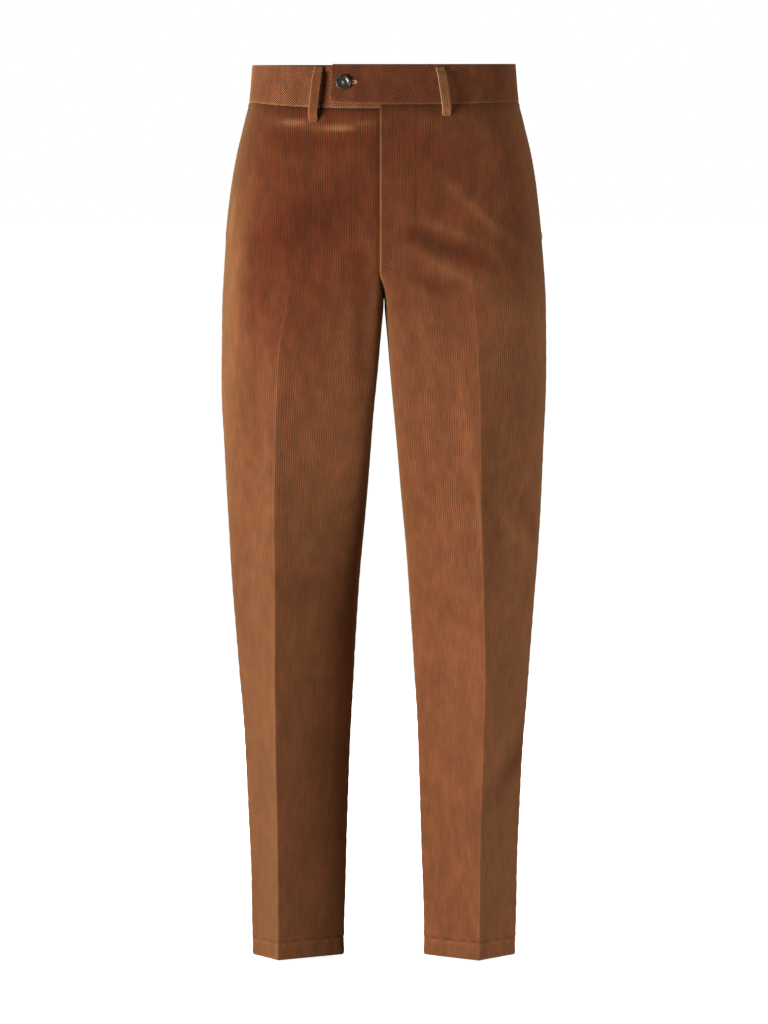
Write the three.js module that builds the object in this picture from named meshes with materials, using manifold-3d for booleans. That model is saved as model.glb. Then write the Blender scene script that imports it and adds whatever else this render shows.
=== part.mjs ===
// Corduroy trousers in their worn, filled-out shape with no wearer: four cloth panels that hang
// open from waist to hems, a waistband in two halves that lap at the front, two slanted pocket
// facings, five belt loops and one button. Millimetres, +Z up, the front faces -Y, and the origin
// is the middle of the waist at the top of the band. Left and right are the wearer's.
import * as THREE from "three";
import { mergeVertices } from "three/addons/utils/BufferGeometryUtils.js";
import Module from "manifold-3d";

const wasm = await Module();
wasm.setup();
const { lerp, clamp, degToRad } = THREE.MathUtils;

// Cloth and seams
const CLOTH = 1.8;
const BAND = 3;
const GAP = 0.3;
const HEM_DEPTH = 26;
const HEM_LAYERS = 1.9;
const HEM_EDGE = 4;
// Between layers that are laid over one another
const CLEAR = GAP + 0.2;

// Heights, down from the top of the waistband
const CROTCH_Z = -275;
const HEM_Z = -1050;

// The shape of the worn cloth, a row for each height. side: half the whole width. gap: half the
// space between the legs. front and back: the furthest Y of the cloth each way. ridge: how far the
// pressed crease stands out. flat: how flat the leg is pressed between its creases and its seams,
// 0 round and 1 flat. inner: the power of its oval on the inseam's side, more being squarer.
// creaseRight and creaseLeft: how far outside the middle of the leg the front crease lies, as a
// share of half the leg's width.
const SHAPE_COLUMNS = [
  "z", "side", "gap", "front", "back", "ridge", "flat", "inner", "creaseRight", "creaseLeft",
];
const SHAPE = [
  [4, 153.6, 0, -106.5, 111.5, 0, 0, 8, 0.02, 0.02],
  [-45, 158, 0, -111, 118, 0, 0, 8, 0.04, 0.03],
  [-65, 163.2, 0, -113, 122, 0, 0, 8, 0.06, 0.04],
  [-100, 171.4, 0, -115.5, 130, 0, 0, 8, 0.08, 0.05],
  [-140, 178, 0, -117.5, 138, 0.3, 0, 8, 0.1, 0.06],
  [-190, 184, 0, -118.5, 143, 0.9, 0, 8, 0.13, 0.07],
  [-235, 187.6, 0, -118, 140, 1.6, 0, 8, 0.155, 0.08],
  [-275, 190, 0, -116, 131, 2.4, 0.02, 9, 0.183, 0.093],
  [-288, 190.2, 0.6, -115.3, 127.4, 2.6, 0.04, 10, 0.2, 0.098],
  [-322, 190.4, 4, -113, 118, 3, 0.1, 11, 0.248, 0.112],
  [-393, 190, 10.6, -108.5, 106, 3.6, 0.2, 12, 0.271, 0.118],
  [-440, 187.8, 14.7, -104.5, 99, 3.8, 0.3, 10, 0.283, 0.119],
  [-534, 183, 23, -98, 91, 4, 0.5, 7, 0.302, 0.127],
  [-628, 177, 30.5, -91, 84, 4, 0.74, 4, 0.308, 0.168],
  [-722, 170, 36, -83, 80, 4, 0.9, 2.9, 0.35, 0.217],
  [-816, 163.4, 40, -75, 79, 4, 0.95, 2.4, 0.382, 0.215],
  [-911, 158.8, 43.5, -64, 79, 4, 0.95, 2.4, 0.387, 0.197],
  [-1005, 156.4, 46.3, -54, 77, 4, 0.95, 2.4, 0.393, 0.185],
  [-1050, 155.6, 46.6, -48, 75, 4, 0.95, 2.4, 0.4, 0.183],
].map((row) => Object.fromEntries(row.map((value, k) => [SHAPE_COLUMNS[k], value])));
const CREASE_REACH = 18;
// Folds fade to nothing at the seams, over these shares of a panel's columns
const SEAM_EASE = { side: 0.08, middle: 0.25 };
// Down to here folds push straight out from the middle of the torso, and from below it over this
// height they change to pushing out from the middle of the leg
const TORSO_FOLDS = { bottom: -100, change: 200 };
const TORSO_POWER = 2.8;
const LEG_POWER = 2.4;

// Soft folds. x and z: the middle. turn: degrees from level, rising to +X. length and width: how
// far it fades along and across. out: how far it stands out, or sinks where it is negative.
const FOLD_COLUMNS = ["face", "x", "z", "turn", "length", "width", "out"];
const FOLDS = [
  ["front", -100, -68, -8, 28, 5, 1.6],
  ["front", -48, -72.5, 7, 34, 5, 1.6],
  ["front", -76, -92, 2, 50, 11, -1.4],
  ["front", 50, -66, -26, 34, 9, 1.4],
  ["front", 108, -168, -42, 54, 7, 1.8],
  ["front", 72, -191, -21, 40, 8, 2],
  ["front", 76, -212, -22, 46, 9, -3],
  ["front", 72, -236, -29, 42, 9, 2.6],
  ["front", 50, -252, -25, 26, 8, -2],
  ["front", -86, -176, 24, 60, 20, -2],
  ["front", -17, -208, -67, 28, 7, 1.6],
  ["front", -27, -262, -80, 30, 8, -1],
  ["front", -22, -330, -88, 85, 12.5, -2.6],
  ["front", -122, -314, 40, 24, 10, -1.8],
  ["front", 30, -300, -78, 50, 9, -1.2],
  ["front", 98, -430, -84, 110, 9, 1.5],
  ["front", 108, -505, -40, 20, 9, -2],
  ["front", 164, -520, -66, 40, 8, -2],
  ["front", 150, -545, -60, 42, 8, 1.6],
  ["front", -84, -610, 24, 34, 16, -1.8],
  ["front", 84, -640, -20, 36, 15, -1.4],
  ["front", 147, -826, 58, 44, 9, -2],
  ["front", 132, -800, 60, 40, 9, 1.4],
  ["back", -60, -288, 24, 46, 12, -3],
  ["back", -66, -326, 18, 50, 12, -2.4],
  ["back", 62, -292, -22, 48, 12, -3],
  ["back", 70, -334, -16, 46, 13, -2.4],
  ["back", -102, -640, 10, 46, 13, -3],
  ["back", -98, -676, -8, 44, 12, -2.4],
  ["back", 100, -630, -12, 46, 13, -3],
  ["back", 104, -668, 7, 42, 12, -2.4],
].map((row) => Object.fromEntries(row.map((value, k) => [FOLD_COLUMNS[k], value])));

// The height at which each column of a panel starts and ends its change from torso to leg
const BLEND = {
  front: { innerTop: -235, outerTop: -100, innerEnd: CROTCH_Z, outerEnd: -340 },
  back: { innerTop: -205, outerTop: -100, innerEnd: CROTCH_Z, outerEnd: -340 },
};
const BLEND_SPAN = 0.6;

// Fly: the left front laps over the right one
const PROUD = 0.6;
const FLY = { lap: 4.7, tuck: -222, end: -236, settle: -246, fade: -262, shiftReach: 14 };
const FLY_OVER = { from: 8, reach: 16 };
const FLY_RAISE = CLOTH + PROUD + 2 * GAP;

// Waistband, which stands proud of the panels. Each half has its own edges: top and bottom at the
// centre front, at the side seam and at the centre back.
const BAND_EDGES = {
  right: { top: [-1.5, 0, 0], bottom: [-50, -43.5, -44] },
  left: { top: [1.2, 1.4, 0], bottom: [-45.4, -42.6, -44] },
};
const TAB = { reach: 62, corner: 5, lift: 2.6, raise: BAND + CLEAR, level: 3, settle: 34, middleZ: -22 };
const TAB_STEPS = [0, 1.2, TAB.corner, 16, 28, 40, 52, 60.5];
const BAND_SECTION = [
  { down: 0, outer: 1, inner: 0.6 },
  { down: 0.05, outer: 0, inner: 0 },
  { down: 0.5, outer: 0, inner: 0 },
  { down: 0.96, outer: 0, inner: 0 },
  { down: 1, outer: 0.5, inner: 0.3 },
];
// Columns this close to the centre front or back, as angles, move to its seam
const BAND_END = { left: 0.012, right: 0.002, back: 0.002, least: 0.03 };

// Slanted pockets: the opening runs from this far in front of the side seam to the seam itself
const POCKET = { mouth: 30, least: 2, topZ: -45, bottomZ: -205, underlap: 8 };
const POCKET_TUCK = { in: CLOTH + 1.5, from: -168, over: 14 };

// Belt loops, each a strip that stands out from the band so that a belt goes through
const LOOP = { width: 10.4, thick: 2.2, top: -2, stand: 7 };
const LOOP_SHAPE = [
  { down: 0, out: 0 },
  { down: 0.06, out: 0.12 },
  { down: 0.12, out: 0.7 },
  { down: 0.18, out: 1 },
  { down: 0.5, out: 1.06 },
  { down: 0.82, out: 1 },
  { down: 0.88, out: 0.7 },
  { down: 0.94, out: 0.12 },
  { down: 1, out: 0 },
];
const LOOPS = [
  { name: "belt_loop_front_right", face: "front", topX: -75, bottomX: -82, bottom: -65.5 },
  { name: "belt_loop_front_left", face: "front", topX: 64.4, bottomX: 72.4, bottom: -58.5 },
  { name: "belt_loop_back_right", face: "back", topX: -92, bottomX: -94, bottom: -63 },
  { name: "belt_loop_back_left", face: "back", topX: 92, bottomX: 94, bottom: -63 },
  { name: "belt_loop_centre_back", face: "back", topX: 0, bottomX: 0, bottom: -63 },
];

// Button: a dished disc with a rim and four holes
const BUTTON = { x: -46.8, z: -20, radius: 8.8, thick: 3.2, sides: 24 };
const BUTTON_HOLE = { radius: 0.9, fromMiddle: 1.6, sides: 8 };
// Its profile from the middle of the back round to the middle of the front, as shares of its
// radius and of its thickness
const BUTTON_PROFILE = [
  [0, 0], [0.62, 0], [0.94, 0.28], [1, 0.55], [0.96, 0.86], [0.84, 1], [0.7, 0.9], [0.56, 0.72], [0, 0.72],
];

// Columns of a panel: 0 is the centre seam or the inseam, 0.5 the crease and 1 the side seam
const COLUMNS = [0, 0.08, 0.15, 0.2, 0.23, 0.26, 0.29, 0.33, 0.38, 0.43, 0.47, 0.5, 0.6, 0.7, 0.8, 0.9, 1];
const COLUMN_SPREAD = 0.05;
const CREASE = 0.5;

const SIDES = { right: -1, left: 1 };
const smooth = (t) => THREE.MathUtils.smoothstep(t, 0, 1);
const CORDUROY = new THREE.Color(0.34, 0.15, 0.062);
const HORN = new THREE.Color(0.03, 0.022, 0.018);

// One of SHAPE's measures at a height, by a cubic through the rows on each side of it
function profile(name, z) {
  let k = 0;
  while (k < SHAPE.length - 2 && z < SHAPE[k + 1].z) k += 1;
  const slope = (i) => {
    const above = SHAPE[Math.max(i - 1, 0)];
    const below = SHAPE[Math.min(i + 1, SHAPE.length - 1)];
    return (below[name] - above[name]) / (below.z - above.z);
  };
  const [a, b] = [SHAPE[k], SHAPE[k + 1]];
  const height = b.z - a.z;
  const t = clamp((z - a.z) / height, 0, 1);
  const ease = t * t * (3 - 2 * t);
  const bend = t * (1 - t) * ((1 - t) * slope(k) - t * slope(k + 1)) * height;
  return lerp(a[name], b[name], ease) + bend;
}

// Half of a rounded oval: a sine or cosine raised so that the oval is a little square
const oval = (value, power) => Math.sign(value) * Math.abs(value) ** (2 / power);

// The space between the legs on one side, which is shut above the crotch
const legGap = (z) => (z > CROTCH_Z ? 0 : Math.max(0, profile("gap", z)));

// The share of the leg's half width by which a crease lies outside its middle. The leg is turned,
// so the crease at the back lies inside the middle by as much.
function creaseShare(side, face, z) {
  const share = profile(side === "left" ? "creaseLeft" : "creaseRight", z);
  return face === "front" ? share : -share;
}

// The angle, from the first column to the last, at a column between them, with the crease's own
// angle at the crease
function angleAt(u, crease, last) {
  if (u <= CREASE) return crease * (u / CREASE);
  return lerp(crease, last, (u - CREASE) / (1 - CREASE));
}

// The direction, from 0 at the inseam to half a turn at the side seam, in which a leg has its crease
function creaseAngle(side, face, z) {
  const share = creaseShare(side, face, z);
  const power = share < 0 ? profile("inner", z) : LEG_POWER;
  return Math.PI / 2 + Math.atan2(share, (1 - Math.abs(share) ** power) ** (1 / power));
}

// The point of a leg's outline in that direction from its middle, half a square with rounded
// corners that reaches 1 each way
function legOutline(angle, z) {
  const power = angle < Math.PI / 2 ? profile("inner", z) : LEG_POWER;
  const point = new THREE.Vector2(-Math.cos(angle), Math.sin(angle));
  const size = (Math.abs(point.x) ** power + Math.abs(point.y) ** power) ** (1 / power);
  return point.divideScalar(size);
}

// The angle of a column round the torso, 0 at the centre seam and a right angle at the side. Up to
// the crease a column is as far across as it is on the leg below.
function torsoAngle(side, face, u, z) {
  const share = (1 + creaseShare(side, face, z)) / 2;
  if (u >= CREASE) return angleAt(u, Math.asin(share ** (TORSO_POWER / 2)), Math.PI / 2);
  const onLeg = legOutline(angleAt(u, creaseAngle(side, face, z), Math.PI), z);
  const spread = COLUMN_SPREAD * (u / CREASE) * (1 - u / CREASE);
  return Math.asin(Math.max(0, (1 + onLeg.x) / 2 + spread) ** (TORSO_POWER / 2));
}

// A point of the torso's oval, on the +X side
function torsoPoint(face, angle, z) {
  const x = profile("side", z) * oval(Math.sin(angle), TORSO_POWER);
  return new THREE.Vector2(x, profile(face, z) * oval(Math.cos(angle), TORSO_POWER));
}

// A point of the leg's oval, on the +X side, from the inseam round to the side seam
function legPoint(side, face, u, z) {
  const [outer, inner] = [profile("side", z), legGap(z)];
  const [front, back] = [profile("front", z), profile("back", z)];
  const crease = creaseAngle(side, face, z);
  const angle = angleAt(u, crease, Math.PI);
  const depth = ((back - front) / 2) * (face === "front" ? -1 : 1);
  const middle = new THREE.Vector2((outer + inner) / 2, (front + back) / 2);
  const reach = new THREE.Vector2((outer - inner) / 2, depth);
  const at = (a) => legOutline(a, z).multiply(reach).add(middle);
  const [point, seam, ridge] = [at(angle), at(u <= CREASE ? 0 : Math.PI), at(crease)];
  const pressed = lerp(ridge.y, seam.y, (point.x - ridge.x) / (seam.x - ridge.x));
  return point.setY(lerp(point.y, pressed, profile("flat", z)));
}

// How far a column has changed from torso to leg. At the centre seam this follows a quarter of an
// oval, so that the seam turns under and meets the inseam level.
function legShare(face, u, z) {
  const b = BLEND[face];
  const outward = smooth(u / BLEND_SPAN) ** 2;
  const top = lerp(b.innerTop, b.outerTop, outward);
  const end = lerp(b.innerEnd, b.outerEnd, outward);
  const t = clamp((top - z) / (top - end), 0, 1);
  return lerp(1 - Math.sqrt(1 - t * t), smooth(t), outward);
}

// How far the folds move the cloth out at a place
function foldOut(face, x, z) {
  let out = 0;
  for (const fold of FOLDS.filter((f) => f.face === face)) {
    const turn = degToRad(fold.turn);
    const [dx, dz] = [x - fold.x, z - fold.z];
    const along = dx * Math.cos(turn) + dz * Math.sin(turn);
    const across = dz * Math.cos(turn) - dx * Math.sin(turn);
    out += fold.out * Math.exp(-((along / fold.length) ** 2) - (across / fold.width) ** 2);
  }
  return out;
}

// A point on the outside of the cloth. side: right or left. face: front or back. u: the column.
function form(side, face, u, z) {
  const share = legShare(face, u, z);
  const torso = torsoPoint(face, torsoAngle(side, face, u, z), z);
  const leg = legPoint(side, face, u, z);
  const flat = torso.lerp(leg, share);
  const crease = legPoint(side, face, CREASE, z);
  const middle = (profile("side", z) + legGap(z)) / 2;
  const centre = new THREE.Vector2(middle * smooth((TORSO_FOLDS.bottom - z) / TORSO_FOLDS.change), 0);
  const outward = flat.clone().sub(centre).normalize();
  const ridge = profile("ridge", z) * Math.exp(-flat.distanceTo(crease) / CREASE_REACH);
  const seamEase = Math.min(1, (1 - u) / SEAM_EASE.side) * Math.min(1, u / SEAM_EASE.middle);
  const fold = foldOut(face, SIDES[side] * flat.x, z) * seamEase;
  flat.addScaledVector(outward, ridge + fold);
  return new THREE.Vector3(SIDES[side] * flat.x, flat.y, z);
}

// The summed normals of the grid's faces round each point, which point away from the axis line
function gridNormals(grid, side) {
  const normals = grid.map((row) => row.map(() => new THREE.Vector3()));
  for (let i = 0; i < grid.length - 1; i += 1) {
    for (let j = 0; j < grid[0].length - 1; j += 1) {
      const across = grid[i + 1][j + 1].clone().sub(grid[i][j]);
      const other = grid[i][j + 1].clone().sub(grid[i + 1][j]);
      const n = across.cross(other).normalize();
      for (const [a, b] of [[i, j], [i + 1, j], [i, j + 1], [i + 1, j + 1]]) normals[a][b].add(n);
    }
  }
  const last = grid[0].length - 1;
  const sign = Math.sign(normals[1][last].x * SIDES[side]);
  return normals.map((row) => row.map((n) => n.multiplyScalar(sign).normalize()));
}

// A closed wall between two grids of points that have the same rows and columns
function wallBetween(outer, inner) {
  const [rows, columns] = [outer.length, outer[0].length];
  const points = [...outer.flat(), ...inner.flat()];
  const id = (layer, i, j) => (layer * rows + i) * columns + j;
  const faces = [];
  const quad = (a, b, c, d) => faces.push(a, b, c, a, c, d);
  for (let i = 0; i < rows - 1; i += 1) {
    for (let j = 0; j < columns - 1; j += 1) {
      quad(id(0, i, j), id(0, i + 1, j), id(0, i + 1, j + 1), id(0, i, j + 1));
      quad(id(1, i, j), id(1, i, j + 1), id(1, i + 1, j + 1), id(1, i + 1, j));
    }
    quad(id(0, i, 0), id(1, i, 0), id(1, i + 1, 0), id(0, i + 1, 0));
    const e = columns - 1;
    quad(id(0, i, e), id(0, i + 1, e), id(1, i + 1, e), id(1, i, e));
  }
  for (let j = 0; j < columns - 1; j += 1) {
    quad(id(0, 0, j), id(0, 0, j + 1), id(1, 0, j + 1), id(1, 0, j));
    const e = rows - 1;
    quad(id(0, e, j), id(1, e, j), id(1, e, j + 1), id(0, e, j + 1));
  }
  const geometry = new THREE.BufferGeometry().setFromPoints(points);
  geometry.setIndex(faces);
  return facingOut(geometry);
}

// Turns a closed geometry's faces round if they point in
function facingOut(geometry) {
  const [p, index] = [geometry.attributes.position, geometry.index.array];
  const corner = (k) => new THREE.Vector3().fromBufferAttribute(p, index[k]);
  let volume = 0;
  for (let k = 0; k < index.length; k += 3) {
    volume += corner(k).dot(corner(k + 1).cross(corner(k + 2)));
  }
  if (volume < 0) geometry.setIndex([...index].reverse());
  return geometry;
}

// The level direction straight out of the front at a column. At the side seam it points sideways.
function levelNormal(side, u, z) {
  if (u === 1) return new THREE.Vector3(SIDES[side], 0, 0);
  const near = 0.002;
  const along = form(side, "front", u + near, z).sub(form(side, "front", u - near, z));
  return new THREE.Vector3(along.y, -along.x, 0).normalize().multiplyScalar(SIDES[side]);
}

// The height of a waistband edge at an angle round from the centre front, half a turn in all
function bandEdge(side, edge, angle) {
  const [front, atSide, back] = BAND_EDGES[side][edge];
  const quarter = Math.PI / 2;
  if (angle <= quarter) return lerp(atSide, front, Math.cos(clamp(angle, 0, quarter)) ** 2);
  return lerp(atSide, back, Math.cos(angle) ** 2);
}

// How far the left front's fly edge stands out over the right front
function flyRaise(x, z) {
  const down = 1 - smooth((FLY.settle - z) / (FLY.settle - FLY.fade));
  return FLY_RAISE * down * Math.exp(-((Math.max(0, x - FLY_OVER.from) / FLY_OVER.reach) ** 2));
}

// How far the fronts' middle edges are moved in X. The left one laps past the middle down to the
// fly's end, and from there both follow the seam back to the middle at the crotch. The right one
// comes out to that seam while it is still under the left one.
function flyShift(side, x, z) {
  const seam = smooth((z - CROTCH_Z) / (FLY.end - CROTCH_Z));
  const met = side === "right" ? smooth((FLY.tuck - z) / (FLY.tuck - FLY.end)) : 1;
  return -FLY.lap * seam * met * Math.exp(-Math.abs(x) / FLY.shiftReach);
}

// The column at which the cloth is a stated way in front of the side seam, found by halving
function columnBeforeSeam(side, z, distance) {
  const seamY = form(side, "front", 1, z).y;
  const halvings = 24;
  let [low, high] = [CREASE, 1];
  for (let k = 0; k < halvings; k += 1) {
    const middle = (low + high) / 2;
    if (seamY - form(side, "front", middle, z).y > distance) low = middle;
    else high = middle;
  }
  return (low + high) / 2;
}

// How far in front of the side seam the pocket's opening is at a height
function pocketMouth(z) {
  return POCKET.mouth * clamp((z - POCKET.bottomZ) / (POCKET.topZ - POCKET.bottomZ), 0, 1);
}

// Heights of a panel's rows below its top edge, closer together where the legs part
function panelHeights() {
  const { innerTop } = BLEND.front;
  const upper = [-62, -85, -110, -135, -160, -188, -205, -222];
  const degrees = [0, 15, 30, 45, 60, 75, 90];
  const turn = degrees.map((a) => lerp(innerTop, CROTCH_Z, Math.sin(degToRad(a))));
  const thigh = [-283, -297, -316, -340, -370, -405, -445];
  const shin = [-490, -534, -578, -622, -666, -710, -754, -798, -842, -886, -930, -974];
  const hem = HEM_Z + HEM_DEPTH;
  return [...upper, ...turn, ...thigh, ...shin, hem + HEM_EDGE, hem - HEM_EDGE, HEM_Z];
}

// The columns of one row of a panel. Those outside the crease close up where the front is cut
// away for the pocket's opening.
function rowColumns(side, face, z) {
  const mouth = face === "front" ? pocketMouth(z) : 0;
  const edge = mouth > 0 ? columnBeforeSeam(side, z, mouth) : 1;
  return COLUMNS.map((u) => (u > CREASE ? lerp(CREASE, edge, (u - CREASE) / (1 - CREASE)) : u));
}

// The angle round the waist seam, from the centre front, of a column of a front or back
function seamAngle(side, face, u) {
  const angle = torsoAngle(side, face, u, BAND_EDGES[side].bottom[1]);
  return face === "front" ? angle : Math.PI - angle;
}

// The height of a panel's top edge at a column
const seamHeight = (side, face, u) => bandEdge(side, "bottom", seamAngle(side, face, u)) - GAP / 2;

// The place of a panel's own cloth: form, moved half a seam's gap from the panels beside it
function panelPoint(side, face, u, z) {
  const p = form(side, face, u, z);
  if (side === "left" && face === "front") p.y -= flyRaise(p.x, z);
  if (face === "front") p.x += flyShift(side, p.x, z);
  p.x += (SIDES[side] * GAP) / 2;
  p.y += face === "front" ? -GAP / 2 : GAP / 2;
  return p;
}

// The thickness of the cloth at a height: it is turned up inside at the hem
function clothAt(z) {
  const turned = smooth((HEM_Z + HEM_DEPTH + HEM_EDGE - z) / (2 * HEM_EDGE));
  return CLOTH * lerp(1, HEM_LAYERS, turned);
}

// The inner side of a panel. Edges keep to their seams: level at the waist and hem, in the centre
// plane above the crotch and in the seam's plane at the side and inseam.
function innerGrid(outer, side) {
  const normals = gridNormals(outer, side);
  const last = outer[0].length - 1;
  return outer.map((row, i) =>
    row.map((p, j) => {
      const n = normals[i][j];
      if (i === 0 || i === outer.length - 1) n.z = 0;
      const below = Math.sign(Math.round(CROTCH_Z - outer[i][1].z));
      if (j === last) n.y = 0;
      if (j === 0 && below > 0) n.y = 0;
      if (j === 0 && below < 0) n.x = 0;
      if (j === 0 && below === 0) n.set(-SIDES[side], 0, -1);
      return p.clone().addScaledVector(n.normalize(), -clothAt(p.z));
    }),
  );
}

// A front or back panel, from the waist seam to the hem
function panel(side, face) {
  const outer = [null, ...panelHeights()].map((height) =>
    rowColumns(side, face, height ?? BAND_EDGES[side].bottom[1]).map((u) =>
      panelPoint(side, face, u, height ?? seamHeight(side, face, u)),
    ),
  );
  return wallBetween(outer, innerGrid(outer, side));
}

// The cloth behind a slanted pocket's opening, from the side seam to a little under the front
function pocketFacing(side) {
  const heights = [null, -62, -85, -110, -135, -160, -174, -188, -198, -212];
  const columns = [
    { mouths: 1, under: POCKET.underlap, sunk: 1 },
    { mouths: 1, under: 0, sunk: 1 },
    { mouths: 0.62, under: 0, sunk: 0.55 },
    { mouths: 0.3, under: 0, sunk: 0.12 },
    { mouths: 0, under: 0, sunk: 0 },
  ];
  const grid = (depth) =>
    heights.map((height) =>
      columns.map(({ mouths, under, sunk }) => {
        const level = height ?? BAND_EDGES[side].bottom[1];
        const before = Math.max(pocketMouth(level), POCKET.least) * mouths + under;
        const u = mouths ? columnBeforeSeam(side, level, before) : 1;
        const z = height ?? seamHeight(side, "front", u) - GAP;
        const tuck = POCKET_TUCK.in * Math.max(sunk, smooth((POCKET_TUCK.from - z) / POCKET_TUCK.over));
        const p = form(side, "front", u, z);
        p.x += (SIDES[side] * GAP) / 2;
        p.y -= GAP / 2;
        return p.addScaledVector(levelNormal(side, u, z), -tuck - depth);
      }),
    );
  return wallBetween(grid(0), grid(CLOTH));
}

// A point of the torso at an angle from the centre front, half a turn in all, with the level
// direction that points out of it. Angles below 0 go on past the centre front.
function waistPoint(side, angle, z) {
  const at = (a) => {
    const face = Math.abs(a) <= Math.PI / 2 ? "front" : "back";
    const p = torsoPoint(face, Math.abs(a), z);
    const y = face === "front" ? p.y : profile("back", z) * oval(Math.abs(Math.cos(a)), TORSO_POWER);
    return new THREE.Vector3(SIDES[side] * Math.sign(a || 1) * p.x, y, z);
  };
  const near = 0.02;
  const along = at(angle + near).sub(at(angle - near));
  const out = new THREE.Vector3(along.y, -along.x, 0).normalize().multiplyScalar(SIDES[side]);
  return { p: at(angle), out };
}

// The angle of the torso at which the front or back is this far from the centre plane
function waistAngle(face, x, z) {
  const angle = Math.asin(clamp(Math.abs(x) / profile("side", z), 0, 1) ** (TORSO_POWER / 2));
  return face === "front" ? angle : Math.PI - angle;
}

// The angles of a waistband half's columns, the same as those of the panels that it is sewn to
function bandAngles(side) {
  const front = rowColumns(side, "front", BAND_EDGES[side].bottom[1]);
  const back = [...COLUMNS].reverse();
  const frontAngles = front.map((u) => seamAngle(side, "front", u));
  const backAngles = back.map((u) => seamAngle(side, "back", u));
  const { least } = BAND_END;
  const between = [...frontAngles, ...backAngles].filter((a) => a > least && a < Math.PI - least);
  return [BAND_END[side], ...between, Math.PI - BAND_END.back];
}

// Where the left half's tab ends: its angle past the centre front for a distance along it
const tabAngle = (distance) => -waistAngle("front", distance, TAB.middleZ);

// One half of the waistband. Its cross-section is a flat wall with eased edges.
function waistband(side) {
  const tab = side === "left" ? TAB_STEPS.map((d) => tabAngle(TAB.reach - d)) : [];
  const angles = [...tab, ...bandAngles(side)];
  const grid = (face) =>
    BAND_SECTION.map((row) =>
      angles.map((angle) => {
        const z = bandHeight(side, angle, row.down);
        const { p, out } = waistPoint(side, angle, z);
        const raise = side === "left" && angle < Math.PI / 2 ? tabRaise(p.x) : 0;
        p.addScaledVector(out, PROUD + raise - (face === "inner" ? BAND - row.inner : row.outer));
        const atFront = side === "right" && angle === BAND_END.right;
        if (atFront || angle === Math.PI - BAND_END.back) p.x = (SIDES[side] * GAP) / 2;
        return p;
      }),
    );
  return wallBetween(grid("outer"), grid("inner"));
}

// How far the left half stands out, where it laps over the right half and just after
const tabRaise = (x) => TAB.raise * (1 - smooth((x - TAB.level) / TAB.settle));

// The height at a share of the way down a band half, with the tab's end corners rounded off
function bandHeight(side, angle, down) {
  const top = bandEdge(side, "top", Math.max(angle, 0));
  const bottom = bandEdge(side, "bottom", Math.max(angle, 0)) + GAP / 2;
  if (side === "right" || angle > 0) return lerp(top, bottom, down);
  const along = angle / tabAngle(TAB.reach);
  const left = clamp((1 - along) * TAB.reach, 0, TAB.corner);
  const cut = TAB.corner - Math.sqrt(TAB.corner ** 2 - (TAB.corner - left) ** 2);
  return lerp(top - cut, bottom + TAB.lift * along + cut, down);
}

// A belt loop: a strip from the top of the band to the cloth below it
function beltLoop(loop) {
  const side = loop.topX < 0 ? "right" : "left";
  const grid = (thick) =>
    LOOP_SHAPE.map(({ down, out: share }) =>
      [-0.5, 0, 0.5].map((across) => {
        const z = lerp(LOOP.top, loop.bottom, down);
        const x = lerp(loop.topX, loop.bottomX, down);
        const angle = waistAngle(loop.face, x, z);
        const { p, out } = waistPoint(side, angle, z);
        const along = new THREE.Vector3(-out.y, out.x, 0);
        const stand = PROUD + GAP + LOOP.stand * share + thick;
        return p.addScaledVector(out, stand).addScaledVector(along, across * LOOP.width);
      }),
    );
  return wallBetween(grid(LOOP.thick), grid(0));
}

// A closed geometry as a solid that can be cut
function solidOf(geometry) {
  const bare = new THREE.BufferGeometry().setAttribute("position", geometry.getAttribute("position"));
  bare.setIndex(geometry.index);
  const sameWithin = 1e-4;
  const merged = mergeVertices(bare, sameWithin);
  const vertProperties = new Float32Array(merged.attributes.position.array);
  const triVerts = new Uint32Array(merged.index.array);
  return new wasm.Manifold(new wasm.Mesh({ numProp: 3, vertProperties, triVerts }));
}

// A solid's triangles as a geometry
function geometryOf(solid) {
  const { vertProperties, triVerts } = solid.getMesh();
  const geometry = new THREE.BufferGeometry();
  geometry.setAttribute("position", new THREE.BufferAttribute(new Float32Array(vertProperties), 3));
  geometry.setIndex(new THREE.BufferAttribute(new Uint32Array(triVerts), 1));
  return geometry;
}

// The waistband button, turned about its own axis, with its four thread holes cut through
function button() {
  const { radius, thick } = BUTTON;
  const outline = BUTTON_PROFILE.map(([out, up]) => new THREE.Vector2(out * radius, up * thick));
  let disc = solidOf(new THREE.LatheGeometry(outline, BUTTON.sides));
  const { fromMiddle } = BUTTON_HOLE;
  for (const [a, b] of [[1, 1], [1, -1], [-1, 1], [-1, -1]]) {
    const hole = new THREE.CylinderGeometry(
      BUTTON_HOLE.radius, BUTTON_HOLE.radius, thick * 4, BUTTON_HOLE.sides,
    );
    hole.translate(a * fromMiddle, 0, b * fromMiddle);
    disc = disc.subtract(solidOf(hole));
  }
  return geometryOf(disc);
}

// Adds a named mesh to the garment
const trousers = new THREE.Group();
function add(name, geometry, color = CORDUROY, roughness = 0.95) {
  const mesh = new THREE.Mesh(geometry, new THREE.MeshStandardMaterial({ color, roughness, metalness: 0 }));
  mesh.name = name;
  trousers.add(mesh);
  return mesh;
}

for (const side of ["right", "left"]) {
  add(`front_${side}`, panel(side, "front"));
  add(`back_${side}`, panel(side, "back"));
  add(`pocket_facing_${side}`, pocketFacing(side));
  add(`waistband_${side}`, waistband(side));
}
for (const loop of LOOPS) add(loop.name, beltLoop(loop));

const seat = waistPoint("left", -waistAngle("front", BUTTON.x, BUTTON.z), BUTTON.z);
const disc = add("waist_button", button(), HORN, 0.35);
disc.position.copy(seat.p).addScaledVector(seat.out, PROUD + TAB.raise + CLEAR);
disc.quaternion.setFromUnitVectors(new THREE.Vector3(0, 1, 0), seat.out);

export default trousers;
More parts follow.
